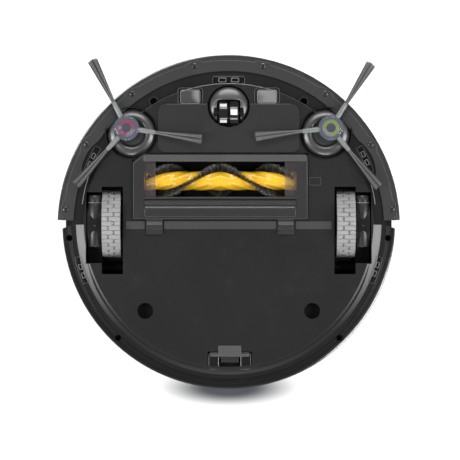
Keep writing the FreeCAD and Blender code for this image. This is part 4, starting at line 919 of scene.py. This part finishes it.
def make_caster():
    """A polished dome with a framed window over a two-track roller."""
    low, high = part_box("caster_ball")
    axle = middle("caster_axle")
    centre = Vector((0, (low.y + high.y) / 2, 0))
    radius = (high.x - low.x) / 2
    profile = [(0, low.z)]
    rise = 6.4 * MM
    for step in range(1, 13):
        turn = math.radians(90) * step / 12
        profile.append((radius * math.sin(turn), low.z + rise * (1 - math.cos(turn))))
    profile += [(radius, high.z - 10 * MM), (4 * MM, high.z - 10 * MM), (4 * MM, high.z), (0, high.z)]
    dome = lathe("caster_dome", profile, centre, DISH, steps=96)
    wheel_low, wheel_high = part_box("caster_wheel")
    reach = (wheel_high.z - wheel_low.z) / 2
    pocket = block("pocket", (wheel_low.x - 1.6 * MM, axle.y - reach - 0.8 * MM, -1 * MM),
                   (wheel_high.x + 1.6 * MM, axle.y + reach + 0.8 * MM, axle.z + reach + 0.8 * MM),
                   GLOSS, 2.2 * MM, 3)
    cheek = block("cheek", (wheel_low.x - 5.2 * MM, axle.y - 5.0 * MM, -1 * MM),
                  (wheel_high.x + 5.2 * MM, axle.y + 6.0 * MM, axle.z + 1.6 * MM), GLOSS, 1.5 * MM, 3)
    cut_away(dome, pocket, cheek)
    soften(dome, 0.35 * MM)
    finished(dome, "caster_fork", "gloss_black", "caster_ball")
    outline = rounded_outline((wheel_low.x - 4.8 * MM, axle.y - reach - 1.2 * MM),
                              (wheel_high.x + 4.8 * MM, axle.y + reach + 1.2 * MM), 5.5 * MM, 0)
    hugging = []
    for x, y, _ in outline:
        away = min(1.0, math.hypot(x, y - centre.y) / radius)
        hugging.append((x, y, low.z + rise * (1 - math.sqrt(1 - away * away)) - 0.05 * MM))
    # the pale frame round the window is a painted highlight line
    finished(bead("window_frame", hugging, 0.35 * MM, EDGE_HIGHLIGHT), "caster_fork", "gloss_black")
    tracks = []
    half = (wheel_high.x - wheel_low.x) / 2
    for first, last in ((-half, -0.5 * MM), (0.5 * MM, half)):
        tracks.append(lathe("track", ring_profile(2 * MM, reach - 0.15 * MM, first, last, 1.2 * MM),
                            axle, GLOSS, "X", 64))
    finished(joined("roller_tracks", tracks), "caster_roller", "gloss_black", "caster_wheel")
    patches = []
    left_track = (-half + 1.0 * MM, -1.6 * MM)
    right_track = (1.6 * MM, half - 1.0 * MM)
    for (first, last), middle_turn, sweep in ((left_track, -36, 18), (left_track, 50, 18),
                                              (left_track, 144, 18), (left_track, 230, 18),
                                              (right_track, 0, 27), (right_track, 180, 27)):
        patches.append(lathe("patch", ring_profile(8 * MM, reach, first, last, 0.4 * MM), axle,
                             WHITE, "X", 10, sweep, middle_turn - sweep / 2))
    finished(joined("roller_patches", patches), "caster_roller", "white_plastic")


# ------------------------------------------------------------------ drive housings


def make_drive_housing(side, sign):
    """The banded can beside each wheel, which carries the gear train."""
    low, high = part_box(f"wheel_arm_{side}")
    outer = max(abs(low.x), abs(high.x)) - 0.6 * MM
    inner = max(abs(c.x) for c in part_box(f"tyre_{side}")) + 0.7 * MM
    radius = (outer - inner) / 2
    centre = Vector((sign * (outer + inner) / 2, 0, low.z + radius + 0.3 * MM))
    bands = [(0, -26.8), (0.80, -26.8), (0.92, -25.6), (0.94, -20.6), (1.0, -20.2), (1.0, -18.8),
             (0.9, -18.4), (0.97, -17.0), (1.0, -8), (0.97, 1.6), (0.9, 2.4), (1.0, 2.9), (1.0, 4.4),
             (0.9, 4.9), (0.9, 23.6), (0.8, 24.8), (0, 24.8)]
    can = lathe(f"drive_can_{side}", [(radius * r, y * MM) for r, y in bands], centre, HOUSING, "Y", 48)
    rings = []
    # pale rings round the can: painted highlight lines on its bands
    for along in (-19.4 * MM, 3.6 * MM):
        turns = [math.radians(180 + 150 * i / 24 - 75) for i in range(25)]
        path = [(centre.x + radius * math.sin(t), along, centre.z + radius * math.cos(t)) for t in turns]
        rings.append(bead("can_ring", path, 0.3 * MM, EDGE_HIGHLIGHT))
    finished(joined(f"drive_can_rings_{side}", rings), f"wheel_arm_{side}", "gloss_black")
    finished(can, f"wheel_arm_{side}", "gloss_black")


# ------------------------------------------------------------------ brush hatch


def make_hatch_bars():
    """The wiper, the ridged bar behind it and the rounded rear bar of the brush hatch."""
    blade_low, blade_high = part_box("rubber_blade")
    left, right = blade_low.x - 0.4 * MM, blade_high.x + 0.4 * MM
    blade = block("wiper_blade", (left, -22.0 * MM, 6.2 * MM), (right, -16.4 * MM, 9.6 * MM), RUBBER,
                  1.6 * MM, 4)
    finished(blade, "brush_hatch", "rubber_black", "rubber_blade")
    ridge = block("wiper_ridge", (left, -25.4 * MM, 7.4 * MM), (right, -22.4 * MM, 10.2 * MM), HATCH,
                  1.2 * MM, 3)
    finished(ridge, "brush_hatch", "shell_plastic")
    rear = block("rear_bar", (left, -14.4 * MM, 6.9 * MM), (right, -5.0 * MM, 9.9 * MM), HATCH,
                 1.4 * MM, 4)
    finished(rear, "brush_hatch", "shell_plastic")
    # pale line along the rear bar: a painted highlight
    rear_bar_highlight = bead("rear_bar_edge", [(left + 1 * MM, -15.0 * MM, 7.5 * MM),
                                   (right - 1 * MM, -15.0 * MM, 7.5 * MM)], 0.45 * MM, EDGE_HIGHLIGHT)
    finished(rear_bar_highlight, "brush_hatch", "cover_grey")
    caps = []
    axis = middle("brush_core")
    for first, last in ((-94.0 * MM, -84.0 * MM), (67.0 * MM, 77.0 * MM)):
        caps.append(lathe("cap", ring_profile(4.6 * MM, 10.4 * MM, first - axis.x, last - axis.x, 1.0 * MM),
                          axis, YELLOW, "X", 48))
    finished(joined("bearing_caps", caps), "chassis", "yellow_plastic", "brush_bearings")
    low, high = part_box("brush_cover")
    front = block("front_bar", (low.x + 10.4 * MM, low.y + 0.9 * MM, 6.9 * MM),
                  (high.x - 1.0 * MM, -60.6 * MM, 9.6 * MM), COVER_GREY, 1.3 * MM, 4)
    finished(front, "brush_hatch", "cover_grey")
    # the pale outline round the hatch is a painted highlight line
    rim_height = low.z + 0.15 * MM
    rim = [(low.x + 12.0 * MM, low.y + 1.2 * MM, rim_height),
           (high.x - 1.6 * MM, low.y + 1.2 * MM, rim_height),
           (high.x - 0.5 * MM, low.y + 2.2 * MM, rim_height),
           (high.x - 0.5 * MM, -3.2 * MM, rim_height),
           (low.x + 0.5 * MM, -3.2 * MM, rim_height),
           (low.x + 0.5 * MM, low.y + 9.4 * MM, rim_height),
           (low.x + 12.0 * MM, low.y + 1.2 * MM, rim_height)]
    finished(bead("hatch_outline", rim, 0.34 * MM, FAINT_EDGE_HIGHLIGHT), "brush_hatch", "cover_grey")
    for side, middle_x in (("left", -74.2), ("right", 57.2)):
        grip = block(f"tab_grip_{side}", ((middle_x - 7.6) * MM, -0.6 * MM, 6.6 * MM),
                     ((middle_x + 7.6) * MM, 3.2 * MM, 8.6 * MM), LATCH_GREY, 0.9 * MM, 3)
        finished(grip, "brush_hatch", "cover_grey")
        hook = block(f"tab_hook_{side}", ((middle_x - 7.2) * MM, 4.2 * MM, 7.2 * MM),
                     ((middle_x + 7.2) * MM, 7.4 * MM, 8.8 * MM), HOUSING, 0.8 * MM, 3)
        finished(hook, "brush_hatch", "gloss_black")


# ------------------------------------------------------------------ underside details


def make_rear_bevel():
    """The sloping skirt from the raised plate down to the rim round the back."""
    # the skirt's colour is a painted highlight, pale by the wheels and dark at the back
    skirt = lathe("plate_skirt", mm(
        (144.6, 10.05), (145.4, 9.85), (146.4, 9.98), (150.0, 11.2), (153.2, 12.6),
        (153.4, 12.9), (144.6, 12.9), (144.6, 10.05)), (0, 0, 0), BEVEL,
                  steps=150, sweep=178, start=1)
    for sign in (-1, 1):
        near, far = sorted((sign * 120 * MM, sign * 143 * MM))
        well = block("well", (near, -5 * MM, 5 * MM), (far, 41.8 * MM, 20 * MM), BEVEL, 0)
        cut_away(skirt, well)
    # the pale rim line is a painted highlight
    rim = bead("rim_line", arc((0, 0), 156.6 * MM, 3, 177, 12.7 * MM, 120), 0.2 * MM, FAINT_EDGE_HIGHLIGHT)
    finished(rim, "chassis", "pan_plastic")
    finished(skirt, "chassis", "pan_plastic")


def make_bumper_lines():
    """The seam between the bumper's skin and its flange, which steps out round each screw."""
    screws = island_middles("bumper_screws")
    centre = (0, 4.2 * MM)
    bearings = sorted(math.degrees(math.atan2(s.y - centre[1], s.x)) % 360 for s in screws)
    line = 166.0 * MM
    height = 10.35 * MM
    points = []
    edge = 183.5
    for bearing in bearings:
        points += arc(centre, line, edge, bearing - 3.2, height, 10)
        points += arc(centre, line + 2.3 * MM, bearing - 1.9, bearing + 1.9, height, 4)
        edge = bearing + 3.2
    points += arc(centre, line, edge, 356.5, height, 10)
    # the pale seam line is a painted highlight along the flange's edge
    seam = bead("bumper_seam", points, 0.32 * MM, FAINT_EDGE_HIGHLIGHT)
    finished(seam, "bumper", "bumper_plastic")
    lip = bead("bumper_lip", arc(centre, 169.6 * MM, 184, 356, 10.75 * MM, 120), 0.5 * MM, BUMPER)
    finished(lip, "bumper", "bumper_plastic")


def outlined(name, low, high, corner, height, width, material):
    """A bead that follows a rounded rectangle at one height."""
    return bead(name, rounded_outline(low, high, corner, height), width, material)


def make_contacts():
    """Plated pads in framed recesses."""
    pads = []
    frames = []
    for spot in island_middles("charge_contacts"):
        low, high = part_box("charge_contacts")
        pad = block("pad", (spot.x - 9 * MM, spot.y - 6 * MM, low.z - 0.3 * MM),
                    (spot.x + 9 * MM, spot.y + 6 * MM, high.z), CONTACT, 0.8 * MM, 3)
        pads.append(pad)
        # the pale frames round each pad are painted highlight lines
        frames.append(outlined("pad_frame", (spot.x - 9.6 * MM, spot.y - 6.6 * MM),
                               (spot.x + 9.6 * MM, spot.y + 6.6 * MM), 1.6 * MM, 10.2 * MM,
                               0.35 * MM, EDGE_HIGHLIGHT))
        frames.append(outlined("recess_edge", (spot.x - 12.4 * MM, spot.y - 8.8 * MM),
                               (spot.x + 12.4 * MM, spot.y + 7.4 * MM), 3.0 * MM, 9.95 * MM,
                               0.3 * MM, FAINT_EDGE_HIGHLIGHT))
    finished(joined("contact_pads", pads), "chassis", "contact_metal", "charge_contacts")
    finished(joined("contact_frames", frames), "chassis", "pan_plastic")


def make_sensor_windows():
    """Infrared windows with two framed lenses each."""
    low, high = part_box("front_cliff_sensor")
    pane = block("cliff_pane", low, high, WINDOW, 1.2 * MM, 3)
    finished(pane, "chassis", "sensor_window", "front_cliff_sensor")
    # the pale outlines round windows and lenses are painted highlight lines
    edges = [outlined("pane_edge", (low.x, low.y), (high.x, high.y), 2.4 * MM,
                      low.z - 0.1 * MM, 0.3 * MM, FAINT_EDGE_HIGHLIGHT)]
    for offset in (-6.4 * MM, 6.4 * MM):
        spot = (low + high) / 2
        edges.append(outlined("lens_edge", (spot.x + offset - 3.6 * MM, spot.y - 2 * MM),
                              (spot.x + offset + 3.6 * MM, spot.y + 2 * MM), 0.6 * MM,
                              low.z - 0.15 * MM, 0.32 * MM, EDGE_HIGHLIGHT))
    for spot in island_middles("side_cliff_sensors"):
        turn = math.degrees(math.atan2(spot.y, spot.x))
        radius = math.hypot(spot.x, spot.y) + (2.2 * MM if spot.y > 0 else 0)
        for wide, high_off in ((3.2, 0.0), (1.5, -5.5), (1.5, 3.5)):
            span = math.degrees(13.6 * MM / radius) if high_off == 0 else math.degrees(2.6 * MM / radius)
            mid = turn + math.degrees(high_off * MM / radius)
            height = (11.9 if spot.y > 0 else 12.5) * MM
            ring = (arc((0, 0), radius - wide * MM, mid - span, mid + span, height, 8)
                    + arc((0, 0), radius + wide * MM, mid + span, mid - span, height, 8))
            # both outline colours are painted highlight lines
            material = FAINT_EDGE_HIGHLIGHT if high_off == 0 else EDGE_HIGHLIGHT
            edges.append(bead("sensor_edge", ring + ring[:1], 0.3 * MM, material))
    finished(joined("sensor_frames", edges), "chassis", "pan_plastic")


def make_pan_lines():
    """Moulded steps and edges that run over the underside, drawn as pale lines that are painted highlights.
    """
    lines = []
    plate_low, plate_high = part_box("caster_plate")
    for left, right in ((plate_low.x + 8 * MM, -21.5 * MM), (21.5 * MM, plate_high.x - 8 * MM)):
        ends = [(x, plate_low.y, plate_low.z + 0.2 * MM) for x in (left, right)]
        lines.append(bead("plate_front", ends, 0.28 * MM, FAINT_EDGE_HIGHLIGHT))
    lines.append(bead("nose_edge", arc((0, 7 * MM), 145.6 * MM, 251, 289, 10.6 * MM, 30), 0.4 * MM, EDGE_HIGHLIGHT))
    for sign in (-1, 1):
        lines.append(bead("shoulder_edge", arc((0, 7 * MM), 145.6 * MM, 270 + sign * 20, 270 + sign * 37,
                                               10.7 * MM, 14), 0.28 * MM, FAINT_EDGE_HIGHLIGHT))
        lines.append(bead("flank_edge", arc((0, 0), 147.6 * MM, 270 + sign * 66, 270 + sign * 83,
                                            11.4 * MM, 14), 0.35 * MM, EDGE_HIGHLIGHT))
    lines.append(outlined("pressed_mark", *mm((81, -44.5), (92, -37)), 0.5 * MM, 9.98 * MM,
                          0.16 * MM, FAINT_EDGE_HIGHLIGHT))
    finished(joined("pan_edges", lines), "chassis", "pan_plastic")


def make_step_band():
    """A shallow ramp across the pan behind the brush hatch."""
    ramps = []
    for first, last in ((-103, -84), (-64.5, 47.5), (67, 103)):
        ramp = block("ramp", (first * MM, -0.8 * MM, 9.3 * MM), (last * MM, 7.0 * MM, 10.4 * MM), STEP, 0)
        for corner in ramp.data.vertices:
            if corner.co.z < 9.5 * MM and corner.co.y > 0:
                corner.co.z = 9.95 * MM
        soften(ramp, 0.25 * MM)
        ramps.append(ramp)
    finished(joined("step_band", ramps), "chassis", "pan_plastic")


def make_latch():
    """The rear catch: a T-shaped finger plate over the socket, with its sprung tongue."""
    low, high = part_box("rear_latch_frame")
    middle_x = (low.x + high.x) / 2
    # the pale rims round the catch and its socket are painted highlight lines
    edges = [outlined("latch_rim", (low.x + 1 * MM, low.y + 1 * MM), (high.x - 1 * MM, high.y - 1 * MM),
                      3.0 * MM, low.z - 0.2 * MM, 0.4 * MM, FAINT_EDGE_HIGHLIGHT),
             outlined("socket_rim", (middle_x - 11.2 * MM, 132.9 * MM),
                      (middle_x + 11.2 * MM, 145.2 * MM), 1.5 * MM, low.z - 0.15 * MM,
                      0.35 * MM, EDGE_HIGHLIGHT)]
    finished(joined("latch_rims", edges), "chassis", "pan_plastic")
    stem = block("latch_stem", (middle_x - 11.5 * MM, 123.4 * MM, 9.0 * MM),
                 (middle_x + 11.5 * MM, 132.6 * MM, 11.0 * MM), LATCH_GREY, 0.9 * MM, 3)
    bar = block("latch_bar", (middle_x - 19.5 * MM, 131.4 * MM, 9.2 * MM),
                (middle_x + 19.5 * MM, 134.6 * MM, 11.0 * MM), LATCH_GREY, 0.8 * MM, 3)
    finished(joined("latch_plate", [stem, bar]), "chassis", "pan_plastic")
    tongue_low, tongue_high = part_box("latch_tongue")
    tongue = block("latch_finger", tongue_low, tongue_high, HOUSING, 0.8 * MM, 3)
    finished(tongue, "latch", "steel", "latch_tongue")


# ------------------------------------------------------------------ stage


def one_sided_sheet(name, height, finish, seen_from_above):
    """A wide sheet of paper that shows on one side only and takes no part in the lighting."""
    clear_selection()
    bpy.ops.mesh.primitive_plane_add(size=6, location=(0, 0, height))
    sheet = bpy.context.object
    sheet.name = name
    shown = Wire(finish, finish.shader.outputs[0])
    clear = finish.add("ShaderNodeBsdfTransparent", {}, {})
    from_below = finish.add("ShaderNodeNewGeometry", {}, {}, "Backfacing")
    front, back = (shown, clear) if seen_from_above else (clear, shown)
    finish.feed(finish.output.inputs[0],
                finish.add("ShaderNodeMixShader", {}, {0: from_below, 1: front, 2: back}))
    sheet.data.materials.append(finish.material)
    sheet.visible_diffuse = False
    sheet.visible_glossy = False
    sheet.visible_transmission = False
    sheet.visible_shadow = False


def make_floor():
    finish = Finish("floor paper")
    finish.set(Base_Color=(0.82, 0.82, 0.83), Roughness=0.8)
    one_sided_sheet("studio_floor", 0, finish, True)


def make_backdrop():
    """White paper above the robot, seen from below, with a painted soft shadow off the rear rim."""
    finish = Finish("backdrop paper")
    # painted shadow: a dark soft ellipse behind the rear rim, in both the paper's colour and its glow
    across = finish.along("X") / (88 * MM)
    behind = (finish.along("Y") - 172 * MM) / (24 * MM)
    shade = (across * across + behind * behind).math("SQRT").sharpened(0.25, 1.0)
    tone = finish.blend(shade, (0.05, 0.053, 0.06), (0.8, 0.8, 0.8))
    finish.set(Base_Color=tone, Roughness=0.9, Emission_Color=tone, Emission_Strength=0.55)
    one_sided_sheet("studio_backdrop", BACKDROP_HEIGHT, finish, False)


def soft_box(name, place, target, size, power):
    light = bpy.data.lights.new(name, "AREA")
    light.shape = "RECTANGLE"
    light.size, light.size_y = size
    light.energy = power
    lamp = bpy.data.objects.new(name, light)
    bpy.context.scene.collection.objects.link(lamp)
    lamp.location = place
    lamp.rotation_euler = (Vector(target) - Vector(place)).to_track_quat("-Z", "Y").to_euler()
    return lamp


def make_studio():
    world = bpy.data.worlds.new("studio")
    bpy.context.scene.world = world
    world.use_nodes = True
    sky = Nodes(world.node_tree, "ShaderNodeOutputWorld")
    seen = sky.add("ShaderNodeBackground", {}, {0: (1, 1, 1), 1: 1.0})
    fill = sky.add("ShaderNodeBackground", {}, {0: (1, 1, 1), 1: 0.16})
    by_camera = sky.add("ShaderNodeLightPath", {}, {}, "Is Camera Ray")
    sky.feed(sky.output.inputs[0], sky.add("ShaderNodeMixShader", {}, {0: by_camera, 1: fill, 2: seen}))
    soft_box("under_front", (0.0, -1.0, -0.9), (0, 0, 0), (1.1, 0.4), 9)
    soft_box("under_left", (-1.1, 0.15, -0.85), (0, 0, 0), (0.45, 1.1), 13)
    soft_box("under_right", (1.1, 0.15, -0.85), (0, 0, 0), (0.45, 1.1), 13)
    soft_box("under_rear", (0.0, 1.5, -0.75), (0, 0, 0), (1.0, 0.4), 11)
    soft_box("over_left", (-0.7, -0.8, 1.2), (0, 0, 0), (0.8, 0.8), 14)
    soft_box("over_right", (0.9, 0.6, 1.1), (0, 0, 0), (0.7, 0.7), 10)


def make_camera():
    """Looks straight up at the underside, with the bumper at the top of the frame."""
    lens = bpy.data.cameras.new("camera")
    lens.lens = 180
    lens.sensor_width = 36
    lens.clip_start = 0.01
    camera = bpy.data.objects.new("camera", lens)
    bpy.context.scene.collection.objects.link(camera)
    width_seen = 460 * MM
    distance = width_seen * lens.lens / lens.sensor_width
    camera.location = (1.3 * MM, 7.9 * MM, 10 * MM - distance)
    camera.rotation_euler = (math.pi, 0, 0)
    bpy.context.scene.camera = camera
    bpy.context.scene.view_settings.view_transform = "Standard"


finish_nodes()
make_casings()
for side, sign in SIDES.items():
    make_tyre(side)
    make_drive_housing(side, sign)
    make_pod(side)
    make_side_brush(side, sign)
for node in ("bumper_screws", "shell_screws"):
    make_screws(node)
make_roller()
make_caster()
make_hatch_bars()
make_rear_bevel()
make_bumper_lines()
make_contacts()
make_sensor_windows()
make_pan_lines()
make_step_band()
make_latch()
make_floor()
make_backdrop()
make_studio()
make_camera()
